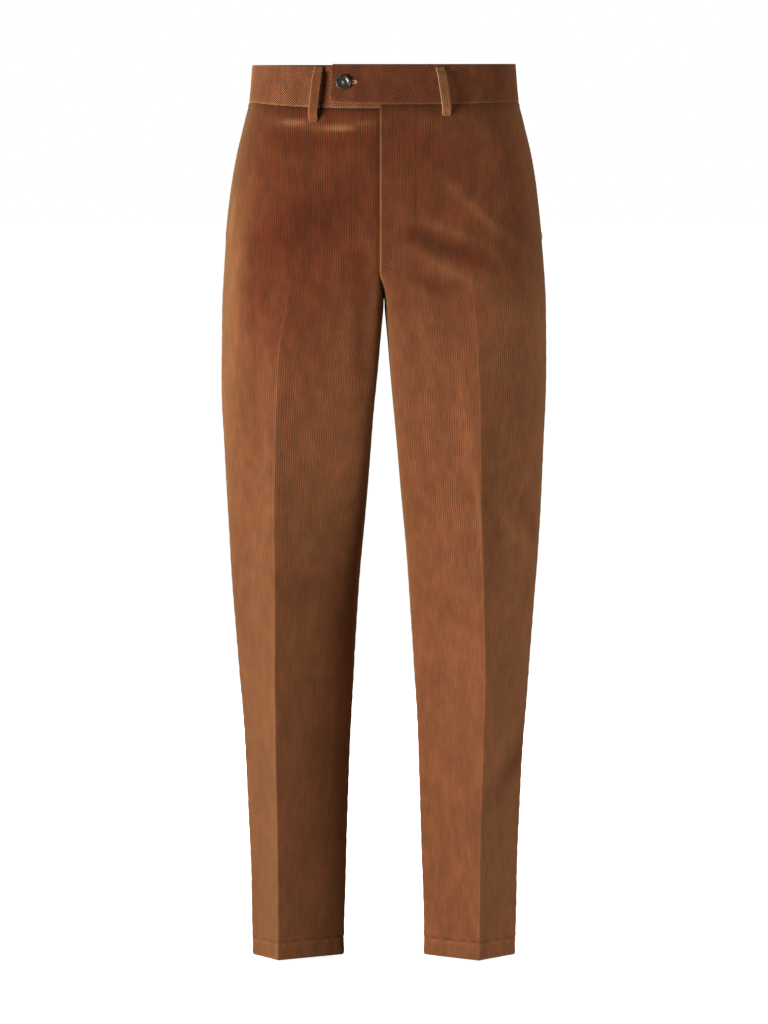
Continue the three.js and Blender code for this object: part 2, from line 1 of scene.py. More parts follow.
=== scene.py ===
"""Brown corduroy trousers as they are worn: filled out, hung from the waist, open at the waist
and the hems. Tables are in millimetres, as a maker would write them, and meshes in metres."""

import bpy
import numpy as np
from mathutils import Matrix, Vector


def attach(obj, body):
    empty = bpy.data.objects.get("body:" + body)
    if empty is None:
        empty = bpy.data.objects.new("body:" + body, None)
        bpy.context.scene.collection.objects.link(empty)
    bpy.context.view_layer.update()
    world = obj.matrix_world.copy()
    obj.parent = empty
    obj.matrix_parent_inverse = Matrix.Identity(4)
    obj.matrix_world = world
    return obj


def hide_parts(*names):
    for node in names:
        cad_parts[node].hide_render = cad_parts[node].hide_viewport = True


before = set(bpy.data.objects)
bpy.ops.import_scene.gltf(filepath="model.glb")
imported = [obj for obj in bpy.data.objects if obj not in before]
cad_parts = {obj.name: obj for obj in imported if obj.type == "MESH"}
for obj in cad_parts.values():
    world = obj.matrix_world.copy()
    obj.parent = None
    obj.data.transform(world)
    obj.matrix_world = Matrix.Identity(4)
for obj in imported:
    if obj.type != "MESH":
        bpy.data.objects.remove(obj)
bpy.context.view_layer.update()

# Fronts and backs
# Four panels of fine corduroy with its ribs upright, sewn at the sides, the inside legs and down
# the middle. The fronts have a pressed crease and are cut away at the top for slanted pockets.
# The left front laps over the right one at the fly.

# The cloth's thickness, the gap at a seam, and how far the band stands out over the panels
CLOTH, GAP, PROUD = 1.8, 0.3, 0.6
CROTCH_Z, HEM_Z = -275, -1050
# The crease's column, how far its ridge reaches, and how much closer the columns lie beside it
CREASE, CREASE_REACH, COLUMN_SPREAD = 0.5, 18, 0.05
# How square the ovals of the torso and the legs are: 2 is an ellipse
TORSO_POWER, LEG_POWER = 2.8, 2.4
SIDES = {"right": -1, "left": 1}

# The worn shape at each height: half the whole width, half the space between the legs, the
# furthest Y of the front and the back, how far the pressed crease stands out, how flat the leg is
# pressed between its creases and its seams, how square its oval is on the inseam's side, and how
# far the crease lies outside the middle of each leg, as a share of half the leg's width.
SHAPE_COLUMNS = (
    "z", "side", "gap", "front", "back", "ridge", "flat", "inner", "crease_right", "crease_left"
)
SHAPE = (
    (4, 153.6, 0, -106.5, 111.5, 0, 0, 8, 0.02, 0.02),
    (-45, 158, 0, -111, 118, 0, 0, 8, 0.04, 0.03),
    (-65, 163.2, 0, -113, 122, 0, 0, 8, 0.06, 0.04),
    (-100, 171.4, 0, -115.5, 130, 0, 0, 8, 0.08, 0.05),
    (-140, 178, 0, -117.5, 138, 0.3, 0, 8, 0.1, 0.06),
    (-190, 184, 0, -118.5, 143, 0.9, 0, 8, 0.13, 0.07),
    (-235, 187.6, 0, -118, 140, 1.6, 0, 8, 0.155, 0.08),
    (-275, 190, 0, -116, 131, 2.4, 0.02, 9, 0.183, 0.093),
    (-288, 190.2, 0.6, -115.3, 127.4, 2.6, 0.04, 10, 0.2, 0.098),
    (-322, 190.4, 4, -113, 118, 3, 0.1, 11, 0.248, 0.112),
    (-393, 190, 10.6, -108.5, 106, 3.6, 0.2, 12, 0.271, 0.118),
    (-440, 187.8, 14.7, -104.5, 99, 3.8, 0.3, 10, 0.283, 0.119),
    (-534, 183, 23, -98, 91, 4, 0.5, 7, 0.302, 0.127),
    (-628, 177, 30.5, -91, 84, 4, 0.74, 4, 0.308, 0.168),
    (-722, 170, 36, -83, 80, 4, 0.9, 2.9, 0.35, 0.217),
    (-816, 163.4, 40, -75, 79, 4, 0.95, 2.4, 0.382, 0.215),
    (-911, 158.8, 43.5, -64, 79, 4, 0.95, 2.4, 0.387, 0.197),
    (-1005, 156.4, 46.3, -54, 77, 4, 0.95, 2.4, 0.393, 0.185),
    (-1050, 155.6, 46.6, -48, 75, 4, 0.95, 2.4, 0.4, 0.183),
)

# Soft folds: middle x and z, degrees from level, length, width, and how far it stands out
FOLDS = {
    "front": (
        (-100, -68, -8, 28, 5, 1.6), (-48, -72.5, 7, 34, 5, 1.6), (-76, -92, 2, 50, 11, -1.4),
        (50, -66, -26, 34, 9, 1.4), (108, -168, -42, 54, 7, 1.8), (72, -191, -21, 40, 8, 2),
        (76, -212, -22, 46, 9, -3), (72, -236, -29, 42, 9, 2.6), (50, -252, -25, 26, 8, -2),
        (-86, -176, 24, 60, 20, -2), (-17, -208, -67, 28, 7, 1.6), (-27, -262, -80, 30, 8, -1),
        (-22, -330, -88, 85, 12.5, -2.6), (-122, -314, 40, 24, 10, -1.8),
        (30, -300, -78, 50, 9, -1.2), (98, -430, -84, 110, 9, 1.5), (108, -505, -40, 20, 9, -2),
        (164, -520, -66, 40, 8, -2), (150, -545, -60, 42, 8, 1.6), (-84, -610, 24, 34, 16, -1.8),
        (84, -640, -20, 36, 15, -1.4), (147, -826, 58, 44, 9, -2), (132, -800, 60, 40, 9, 1.4),
    ),
    "back": (
        (-60, -288, 24, 46, 12, -3), (-66, -326, 18, 50, 12, -2.4), (62, -292, -22, 48, 12, -3),
        (70, -334, -16, 46, 13, -2.4), (-102, -640, 10, 46, 13, -3), (-98, -676, -8, 44, 12, -2.4),
        (100, -630, -12, 46, 13, -3), (104, -668, 7, 42, 12, -2.4),
    ),
}

# The heights of the waistband's edges at the middle of the front, the side and the middle back
BAND_EDGES = {
    "right": {"top": (-1.5, 0, 0), "bottom": (-50, -43.5, -44)},
    "left": {"top": (1.2, 1.4, 0), "bottom": (-45.4, -42.6, -44)},
}
POCKET_MOUTH, POCKET_TOP_Z, POCKET_BOTTOM_Z = 30, -45, -205
FLY_LAP, FLY_TUCK_Z, FLY_END_Z, FLY_SETTLE_Z, FLY_FADE_Z = 4.7, -222, -236, -246, -262
FLY_RAISE, FLY_REACH, FLY_SHIFT_REACH = CLOTH + PROUD + 2 * GAP, 16, 14
# Where the torso starts to turn into the legs: at the middle, front and back, and at the sides
TURN_TOP_Z, TURN_SIDE_Z = {"front": -235, "back": -205}, (-100, -340)
HIP_TOP_Z, TURN_ROWS_Z, HIP_STEP, LEG_STEP = -46, -235, 6.5, 7.4
PANEL_COLUMNS, TOP_ROWS = 261, 5

# The ribs' distance and height, and their field where the pile is worn level
RIB, RIB_DEPTH, RIB_WORN = 2.75, 0.5, 0.72
# At a seam the cloth rolls in: how far from it, and how deep
ROLL_REACH, ROLL_DEPTH = 1.3, 0.75
# The hem's blind stitches above its edge, and the cloth's layers from its turn-up's top down
HEM_STITCH, HEM_TURN, HEM_LAYERS = 21.5, 30, 1.9
# The fly's stitched line: its distance from the middle, its sweep, and the heights of its curve
FLY_STITCH_X, FLY_STITCH_SWEEP, FLY_CURVE_Z, FLY_CURVE_DROP, FLY_STITCH_END_Z = 37, 34, -172, 62, -233

# Painted light and shade in the cloth's colour, held in a field on the mesh: 1 is as dyed, less is
# darker, more is paler. The hips are painted darker and the legs paler, and folds that stand out
# are painted paler and those that go in darker. The fronts also have patches of painted highlights
# and painted shadows, on folds, creases and edges, under the band and beside the fly: middle x and
# z, degrees from level, length, width, and how much paler.
TORSO_PAINTED_SHADE, LEG_PAINTED_LIGHT, FOLD_PAINTED_SHADING = 0.88, 1.36, 0.13
PAINTED_SHADING_PATCHES = (
    (-103, -67, -9, 22, 2.6, 1.25), (-48, -72, 7, 30, 2.6, 1.35), (-3.6, -140, 90, 110, 1.1, 0.65),
    (-7.2, -140, 90, 110, 1.4, -0.5), (-74, -79, 2, 70, 5, -0.2), (-60, -51, 2, 110, 6, -0.25),
    (60, -48, -1, 110, 6, -0.25), (45, -92, -20, 60, 34, -0.15), (128, -110, -60, 60, 20, 0.1),
    (-172, -200, 82, 90, 16, 0.5), (-176.5, -178, 83, 30, 3, 0.9), (76, -211, -22, 50, 12, -0.32),
    (108, -168, -42, 54, 6, 0.2), (74, -190, -21, 36, 6, 0.18), (74, -235, -29, 38, 6, 0.22),
    (18, -185, 88, 60, 16, 0.12), (-88, -185, 24, 60, 26, -0.12), (166, -190, -80, 50, 12, -0.15),
    (-86, -318, 88, 90, 46, -0.35), (-178, -330, 88, 100, 9, 0.5), (-176, -240, 86, 40, 8, 0.25),
    (-150, -278, 88, 50, 18, -0.24), (36, -335, -84, 100, 26, 0.22),
    (-143, -540, 88, 130, 13, 0.26), (84, -600, -86, 170, 26, 0.15), (109, -520, -84, 50, 6, 0.18),
    (-100, -560, -60, 60, 14, 0.12), (150, -820, 60, 70, 9, -0.2), (-90, -700, 85, 120, 14, 0.1),
    (-31, -320, -88, 70, 8, -0.15), (-12, -300, 88, 45, 6, 0.2), (-87, -475, 3, 28, 2.5, -0.14),
    (-141, -513, -12, 13, 2, 0.3), (-134, -451, -60, 12, 2, 0.3), (108, -498, -86, 26, 1.7, 0.5),
    (132, -549, -2, 18, 1.8, 0.35), (132, -545, -2, 18, 1.8, -0.25), (158, -498, 66, 20, 2.2, 0.3),
    (150, -560, -88, 190, 24, 0.22), (140, -930, 90, 80, 24, 0.22), (150, -290, 88, 60, 20, 0.16),
)


def smooth(t):
    """Eases from 0 to 1: three t squared less two t cubed, with t held between 0 and 1."""
    t = np.clip(t, 0, 1)
    return t * t * (3 - 2 * t)


def mix(a, b, t):
    """a where t is 0, b where it is 1, and in proportion between them."""
    return a + (b - a) * t


def unit(v):
    """A vector at length 1, or each one of an array of them."""
    return v / np.linalg.norm(v, axis=-1, keepdims=True)


def profile(name, z):
    """A column of SHAPE at heights z: a cubic between two rows, its slope at each row taken from
    the rows on both sides of it."""
    heights = np.array([row[0] for row in SHAPE], float)
    values = np.array([row[SHAPE_COLUMNS.index(name)] for row in SHAPE], float)
    i = np.arange(len(heights))
    above, below = np.maximum(i - 1, 0), np.minimum(i + 1, len(i) - 1)
    slope = (values[below] - values[above]) / (heights[below] - heights[above])
    k = np.clip(np.searchsorted(-heights, -z, side="left") - 1, 0, len(heights) - 2)
    height = heights[k + 1] - heights[k]
    t = np.clip((z - heights[k]) / height, 0, 1)
    bend = t * (1 - t) * ((1 - t) * slope[k] - t * slope[k + 1]) * height
    return mix(values[k], values[k + 1], smooth(t)) + bend


def oval(value, power=TORSO_POWER):
    """A sine or cosine raised to a power, which makes the oval a little square."""
    return np.sign(value) * np.abs(value) ** (2 / power)


def leg_crease(share, inner_power):
    """The direction, from 0 at the inseam to half a turn at the side seam, in which a leg's outline
    is this share of its half width outside its middle."""
    power = np.where(share < 0, inner_power, LEG_POWER)
    return np.pi / 2 + np.arctan2(share, (1 - np.abs(share) ** power) ** (1 / power))


def leg_outline(angle, inner_power):
    """The point of a leg's outline in that direction from its middle, where the powers of x and y
    add up to 1: half a square with rounded corners."""
    power = np.where(angle < np.pi / 2, inner_power, LEG_POWER)
    size = (np.abs(np.cos(angle)) ** power + np.abs(np.sin(angle)) ** power) ** (1 / power)
    return -np.cos(angle) / size, np.sin(angle) / size


def leg_gap(z):
    """Half the space between the legs, none above the crotch."""
    return np.where(z > CROTCH_Z, 0, np.maximum(0, profile("gap", z)))


def crease_share(side, face, z):
    """How far the crease lies outside the middle of the leg, and inside it at the back."""
    share = profile(f"crease_{side}", z)
    return share if face == "front" else -share


def angle_at(u, crease_angle, last_angle):
    """The angle at column u, straight from 0 to the crease and from there to the last one."""
    after = mix(crease_angle, last_angle, (u - CREASE) / (1 - CREASE))
    return np.where(u <= CREASE, crease_angle * u / CREASE, after)


def torso_angle(side, face, u, z):
    """The angle round the torso at column u, 0 at the middle and a right angle at the side. Up to
    the crease a column is as far across as it is on the leg below."""
    share, inner_power = crease_share(side, face, z), profile("inner", z)
    at_crease = np.arcsin(((1 + share) / 2) ** (TORSO_POWER / 2))
    inward = np.minimum(u, CREASE)
    on_leg, _ = leg_outline(angle_at(inward, leg_crease(share, inner_power), np.pi), inner_power)
    across = (1 + on_leg) / 2 + COLUMN_SPREAD * (inward / CREASE) * (1 - inward / CREASE)
    inside = np.arcsin(np.clip(across, 0, 1) ** (TORSO_POWER / 2))
    return np.where(u < CREASE, inside, angle_at(u, at_crease, np.pi / 2))


def torso_point(face, angle, z):
    """A point of the torso's oval, on the +X side."""
    return profile("side", z) * oval(np.sin(angle)), profile(face, z) * oval(np.cos(angle))


def leg_point(side, face, u, z):
    """A point of the leg, on the +X side, from the inseam round to the side seam: an oval, pressed
    towards straight lines between the creases and the seams."""
    outer, inner = profile("side", z), leg_gap(z)
    front, back = profile("front", z), profile("back", z)
    inner_power = profile("inner", z)
    crease = leg_crease(crease_share(side, face, z), inner_power)
    angle, flat = angle_at(u, crease, np.pi), profile("flat", z)
    half, depth = (outer - inner) / 2, (back - front) / 2 * (-1 if face == "front" else 1)

    (x, y), (crease_x, crease_y) = (leg_outline(a, inner_power) for a in (angle, crease))
    seam_x = np.where(u <= CREASE, -1, 1)
    pressed = crease_y * (1 - (x - crease_x) / (seam_x - crease_x))
    return (outer + inner) / 2 + half * x, (front + back) / 2 + depth * mix(y, pressed, flat)


def leg_share(face, u, z):
    """How far column u has changed from torso to leg at height z. At the middle it follows a
    quarter of an oval, so the seam turns under and meets the inseam level."""
    outward = smooth(u / 0.6) ** 2
    top = mix(TURN_TOP_Z[face], TURN_SIDE_Z[0], outward)
    end = mix(CROTCH_Z, TURN_SIDE_Z[1], outward)
    t = np.clip((top - z) / (top - end), 0, 1)
    return mix(1 - np.sqrt(1 - t * t), smooth(t), outward)


def bell(value, middle, width):
    """1 where the value is at the middle, falling away in the shape of a bell."""
    return np.exp(-(((value - middle) / width) ** 2))


def bells(rows, x, z):
    """The sum of the rows at a place, each a bell shape that is long one way and narrow the other."""
    out = np.zeros(np.broadcast(x, z).shape)
    for middle_x, middle_z, turn, length, width, height in rows:
        c, s = np.cos(np.radians(turn)), np.sin(np.radians(turn))
        along = (x - middle_x) * c + (z - middle_z) * s
        across = (z - middle_z) * c - (x - middle_x) * s
        out = out + height * np.exp(-((along / length) ** 2) - (across / width) ** 2)
    return out


def fold_out(face, x, z):
    """How far the folds move the cloth out at a place."""
    return bells(FOLDS[face], x, z)


def form(side, face, u, z):
    """The outside of the cloth at column u and height z: the torso's oval turning into the leg's,
    moved straight out by the crease's ridge and by the folds."""
    share = leg_share(face, u, z)
    tx, ty = torso_point(face, torso_angle(side, face, u, z), z)
    lx, ly = leg_point(side, face, u, z)
    x, y = mix(tx, lx, share), mix(ty, ly, share)
    cx, cy = leg_point(side, face, np.full_like(u, CREASE), z)
    middle = (profile("side", z) + leg_gap(z)) / 2 * smooth((-z - 100) / 200)
    length = np.hypot(x - middle, y)
    ease = np.minimum(1, (1 - u) / 0.08) * np.minimum(1, u / 0.25)
    out = profile("ridge", z) * np.exp(-np.hypot(x - cx, y - cy) / CREASE_REACH)
    out = out + fold_out(face, SIDES[side] * x, z) * ease
    return SIDES[side] * (x + (x - middle) / length * out), y + y / length * out


def band_edge(side, edge, angle):
    """The height of a waistband edge: it changes with the square of the cosine from the middle to
    the side."""
    front, at_side, back = BAND_EDGES[side][edge]
    end = np.where(angle <= np.pi / 2, front, back)
    return mix(at_side, end, np.cos(np.clip(angle, 0, np.pi)) ** 2)


def seam_height(side, face, u):
    """The height of a panel's top edge, where it is sewn to the waistband."""
    angle = torso_angle(side, face, u, np.full_like(u, BAND_EDGES[side]["bottom"][1]))
    return band_edge(side, "bottom", angle if face == "front" else np.pi - angle) - GAP / 2


def fly_shift(side, x, z):
    """How far the fronts' middle edges are moved in X. The left one laps past the middle down to
    the fly's end, and from there both follow the seam back to the middle at the crotch. The right
    one comes out to that seam while it is still under the left one."""
    seam = smooth((z - CROTCH_Z) / (FLY_END_Z - CROTCH_Z))
    if side == "right":
        seam = seam * smooth((FLY_TUCK_Z - z) / (FLY_TUCK_Z - FLY_END_Z))
    return -FLY_LAP * seam * np.exp(-np.abs(x) / FLY_SHIFT_REACH)


def panel_rows():
    """The heights of a panel's rows: even down the hips and legs, close together where the legs
    part and at the hem."""
    hips = np.arange(HIP_TOP_Z, TURN_ROWS_Z + 3, -HIP_STEP)
    turn = TURN_ROWS_Z + (CROTCH_Z - TURN_ROWS_Z) * np.sin(np.linspace(0, np.pi / 2, 13))
    thigh = CROTCH_Z - 2 - np.cumsum(np.linspace(1.5, 7.5, 20))
    leg = np.arange(thigh[-1] - LEG_STEP, HEM_Z + 32, -LEG_STEP)
    turned_up, edge = HEM_Z + np.linspace(31, 6, 14), HEM_Z + np.array([3.5, 1.6, 0.4, 0])
    return np.concatenate([hips, turn, thigh, leg, turned_up, edge])


def raised_rows(rows, top):
    """The rows' heights with the first one moved to the top edge and the next few in proportion."""
    return rows + (top - rows[0]) * np.clip(1 - np.arange(len(rows))[:, None] / TOP_ROWS, 0, 1)


def outward_normals(points, side):
    """Unit normals of a grid of points from the slopes along its rows and columns, turned to face
    away from the body."""
    normal = np.cross(np.gradient(points, axis=0), np.gradient(points, axis=1))
    normal /= np.linalg.norm(normal, axis=2, keepdims=True) + 1e-12
    return normal * np.sign(normal[len(points) // 2, -1, 0] * SIDES[side])


def row_distances(points):
    """The distance of each point of a grid from the start of its row."""
    steps = np.linalg.norm(np.diff(points, axis=1), axis=2)
    return np.concatenate([np.zeros((len(points), 1)), np.cumsum(steps, axis=1)], axis=1)


def along_row(at, along, values):
    """Values at new places along each row, in a straight line between the row's own."""
    return np.array([np.interp(a, b, v) for a, b, v in zip(at, along, values)])


def rib_height(distance, pitch=RIB):
    """Corduroy's ribs across the cloth: rounded crests between narrow valleys, from 0 to 1."""
    return np.abs(np.cos(np.pi * distance / pitch)) ** 0.7


def placed(name, data):
    """An object of this data, linked to the scene."""
    thing = bpy.data.objects.new(name, data)
    bpy.context.scene.collection.objects.link(thing)
    return thing


def piece_of(name, mesh, material):
    """An object of a finished mesh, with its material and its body."""
    mesh.materials.append(material)
    piece = placed(name, mesh)
    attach(piece, "root")
    return piece


def closed_wall(name, outer, inner, fields, material):
    """A mesh of the wall between two grids of points. Columns that lie on the same place as the
    next one in a row are left out of its triangles, so that ribs can end anywhere along a seam."""
    rows, columns = outer.shape[:2]
    same = np.linalg.norm(np.diff(outer, axis=1), axis=2) < 1e-4
    first = np.argmin(same, axis=1)[:, None]
    last = columns - 1 - np.argmin(same[:, ::-1], axis=1)[:, None]
    index = np.arange(rows)[:, None] * columns + np.clip(np.arange(columns), first, last)
    layers = (index, index + rows * columns)
    faces = []
    for layer, turn in ((layers[0], False), (layers[1], True)):
        a, b, c, d = layer[:-1, :-1], layer[1:, :-1], layer[1:, 1:], layer[:-1, 1:]
        ring = (a, d, c, b) if turn else (a, b, c, d)
        faces += [np.stack((ring[0], ring[1], ring[2]), -1), np.stack((ring[0], ring[2], ring[3]), -1)]
    for top, bottom in (
        (layers[0][:, 0], layers[1][:, 0]),
        (layers[1][:, -1], layers[0][:, -1]),
        (layers[1][0], layers[0][0]),
        (layers[0][-1], layers[1][-1]),
    ):
        faces.append(np.stack((top[:-1], bottom[:-1], bottom[1:]), -1))
        faces.append(np.stack((top[:-1], bottom[1:], top[1:]), -1))
    faces = np.concatenate([f.reshape(-1, 3) for f in faces])
    proper = (faces[:, 0] != faces[:, 1]) & (faces[:, 1] != faces[:, 2]) & (faces[:, 2] != faces[:, 0])
    used, faces = np.unique(faces[proper], return_inverse=True)
    faces = faces.reshape(-1, 3)
    points = np.concatenate([outer.reshape(-1, 3), inner.reshape(-1, 3)])[used] / 1000
    a, b, c = (points[faces[:, k]] for k in range(3))
    if (a * np.cross(b, c)).sum() < 0:
        faces = faces[:, ::-1]
    mesh = bpy.data.meshes.new(name)
    mesh.from_pydata(points, [], faces)
    for field, walls in fields.items():
        both = np.concatenate([np.broadcast_to(wall, (rows, columns)).ravel() for wall in walls])
        data = mesh.attributes.new(field, "FLOAT", "POINT").data
        data.foreach_set("value", both[used].astype(np.float32))
    cloth = np.stack([np.tile(fields[k][0].ravel(), 2)[used] for k in ("across", "along")], -1)
    uv = mesh.uv_layers.new(name="cloth")
    uv.data.foreach_set("uv", cloth[faces.ravel()].astype(np.float32).ravel())
    mesh.shade_smooth()
    mesh.set_sharp_from_angle(angle=np.radians(78))
    return piece_of(name, mesh, material)


def new_material(name):
    """A material, its nodes, its links and its shader."""
    material = bpy.data.materials.new(name)
    material.use_nodes = True
    nodes = material.node_tree.nodes
    return material, nodes, material.node_tree.links, nodes["Principled BSDF"]


def set_inputs(node, values):
    """Gives some of a node's inputs their constants."""
    for key, value in values.items():
        node.inputs[key].default_value = value


def color_mix(nodes, kind="MIX"):
    """The sockets, by their identifiers, of a new node that mixes two colours."""
    node = nodes.new("ShaderNodeMix")
    node.data_type, node.blend_type = "RGBA", kind
    return {socket.identifier: socket for socket in (*node.inputs, *node.outputs)}


def corduroy(name, crest, valley, tint, pile, groove=0.1, worn=0.7):
    """Corduroy in one cloth: pale crests over dark valleys from the ribs' own height, the valleys'
    darkness partly the ground cloth and partly painted shade in the grooves, slow patches where the
    pile lies another way, streaks along each rib, paler seam edges, painted light and shade from a
    field on the mesh, and a plain woven back."""
    material, nodes, links, shader = new_material(name)

    def attribute(field):
        node = nodes.new("ShaderNodeAttribute")
        node.attribute_name = field
        return node.outputs["Fac"]

    def noise(source, scale, detail, stretch=(1, 1, 1)):
        coordinates, mapping = nodes.new("ShaderNodeTexCoord"), nodes.new("ShaderNodeMapping")
        mapping.inputs["Scale"].default_value = stretch
        texture = nodes.new("ShaderNodeTexNoise")
        set_inputs(texture, {"Scale": scale, "Detail": detail})
        links.new(coordinates.outputs[source], mapping.inputs["Vector"])
        links.new(mapping.outputs["Vector"], texture.inputs["Vector"])
        return texture.outputs["Fac"]

    def ramp(source, low, high, out_low, out_high):
        node = nodes.new("ShaderNodeMapRange")
        set_inputs(node, {"From Min": low, "From Max": high, "To Min": out_low, "To Max": out_high})
        links.new(source, node.inputs["Value"])
        return node.outputs["Result"]

    def blend(a, b, share, kind="MIX"):
        sockets = color_mix(nodes, kind)
        for key, value in (("A_Color", a), ("B_Color", b), ("Factor_Float", share)):
            if isinstance(value, bpy.types.NodeSocket):
                links.new(value, sockets[key])
            else:
                sockets[key].default_value = (*value, 1)
        return sockets["Result_Color"]

    def shade(color, tone, source, low, high, share):
        """The colour times a tone, not at all where the source is low and by this share where it is
        high."""
        return blend(color, tone, ramp(source, low, high, 0, share), "MULTIPLY")

    by_painted_shading, mottles = attribute("painted_shading"), noise("Object", 75, 4, (1, 1, 0.55))
    streaks = noise("UV", 1, 3, (520, 46, 1))
    # The valleys are darker than the crests: partly the ground cloth, partly painted shade in the
    # grooves
    ribs = blend(valley, crest, ramp(attribute("rib"), groove, 0.95, 0, 1))
    matted = tuple(v * 0.45 + c * 0.55 for v, c in zip(valley, crest))
    plain = blend(ribs, matted, ramp(noise("Object", 34, 3, (1, 1, 0.6)), 0.44, 0.6, 0, worn))
    plain = shade(plain, (0.62, 0.62, 0.62), noise("Object", 16, 2, (1, 1, 0.45)), 0.68, 0.36, 0.42)
    mottled = shade(plain, (0.55, 0.47, 0.42), mottles, 0.54, 0.36, 0.4)
    mottled = shade(mottled, (1.45, 1.5, 1.6), mottles, 0.52, 0.72, 0.38)
    # Painted light and shade from the mesh's field: less mottling where it is painted paler, a redder
    # and darker colour where it is painted shade, and a paler, yellower one where it is painted light
    pile_color = blend(plain, mottled, ramp(by_painted_shading, 0.95, 1.35, 1, 0.7))
    pile_color = shade(pile_color, (1.5, 1.45, 1.4), streaks, 0.42, 0.75, 0.55)
    pile_color = shade(pile_color, (0.45, 0.42, 0.4), noise("UV", 1900, 2), 0.56, 0.75, 0.5)
    pile_color = blend(pile_color, tint, ramp(attribute("edge"), 0.3, 1, 0, 0.1))
    pile_color = shade(pile_color, (1, 0.7, 0.5), by_painted_shading, 1, 0.7, 1)
    pile_color = shade(pile_color, (0.3, 0.3, 0.3), by_painted_shading, 1, 0, 1)
    pile_color = shade(pile_color, (1.9, 2.9, 3.4), by_painted_shading, 1, 2, 1)
    woven = blend((0.2, 0.085, 0.036), (0.32, 0.15, 0.07), noise("UV", 1400, 1, (1, 0.4, 1)))
    links.new(blend(pile_color, woven, attribute("inside")), shader.inputs["Base Color"])
    links.new(ramp(streaks, 0.3, 0.7, 0.98, 0.84), shader.inputs["Roughness"])
    set_inputs(shader, {"Specular IOR Level": 0.18, "Sheen Weight": 0.85 * pile})
    set_inputs(shader, {"Sheen Roughness": 0.5, "Sheen Tint": (*tint, 1)})
    bump = nodes.new("ShaderNodeBump")
    set_inputs(bump, {"Strength": 0.5, "Distance": 0.0003})
    links.new(noise("UV", 2600, 3, (1, 0.6, 1)), bump.inputs["Height"])
    links.new(bump.outputs["Normal"], shader.inputs["Normal"])
    return material


def ribbed_cloth(
    name, points, normals, across, low, high, rise, thickness, material,
    pitch=RIB, slant=0, down=None, painted_shading=None, fade=None,
):
    """A cloth wall with real ribs. Its columns keep a constant distance across the cloth, three to
    a rib, and stop at the seams. Each outer point is the shape's own point moved out by the ribs
    and by rise; each inner one is that point moved in by the thickness."""
    step = pitch / 3
    down = np.zeros(len(points)) if down is None else down
    spare = np.ceil(abs(slant) * down.max() / step) + 4
    steps = np.arange(np.floor(low.min() / step) - spare, np.ceil(high.max() / step) + spare)
    wanted = (steps[None, :] + 1.5) * step + slant * down[:, None]
    place = np.clip(wanted, low[:, None], high[:, None])
    inside_some = ((wanted > low[:, None]) & (wanted < high[:, None])).any(0)
    first, last = np.flatnonzero(inside_some)[[0, -1]]
    keep = np.zeros(len(steps), bool)
    keep[max(first - 1, 0) : last + 2] = True
    place = place[:, keep]
    base = np.stack([along_row(place, across, points[..., k]) for k in range(3)], -1)
    normal = unit(np.stack([along_row(place, across, normals[..., k]) for k in range(3)], -1))
    ribs = rib_height(place - slant * down[:, None], pitch)
    edge = np.minimum(place - low[:, None], high[:, None] - place)
    rolled = bell(edge, 0, ROLL_REACH)
    worn = np.zeros_like(ribs) if fade is None else along_row(place, across, fade)
    depth = RIB_DEPTH * (1 - 0.6 * worn)
    moved = along_row(place, across, rise) + (ribs * (1 - 0.6 * rolled) - 0.5) * depth
    moved = moved - ROLL_DEPTH * rolled
    outer = base + normal * moved[..., None]
    deep = np.broadcast_to(np.asarray(thickness, float).reshape(-1, 1), place.shape)
    inner = base - normal * deep[..., None]
    painted_shading_values = np.ones_like(ribs) if painted_shading is None else along_row(place, across, painted_shading)
    fields = {
        "rib": (mix(ribs, RIB_WORN, worn), np.ones_like(ribs)),
        "edge": (np.exp(-edge / 1.6), np.zeros_like(edge)),
        "inside": (np.zeros_like(edge), np.ones_like(edge)),
        "painted_shading": (painted_shading_values, painted_shading_values),
        "across": (place / 1000, place / 1000),
        "along": (base[..., 2] / 1000, base[..., 2] / 1000),
    }
    return closed_wall(name, outer, inner, fields, material)


# The corduroy of the panels, the pocket facings and most belt loops
brown = corduroy("brown_corduroy", (0.17, 0.0415, 0.0138), (0.074, 0.0172, 0.0055), (1, 0.61, 0.25), 1)


def pocket_mouth(z):
    """How far the slanted opening reaches in front of the side seam, straight from top to bottom."""
    return POCKET_MOUTH * np.clip((z - POCKET_BOTTOM_Z) / (POCKET_TOP_Z - POCKET_BOTTOM_Z), 0, 1)


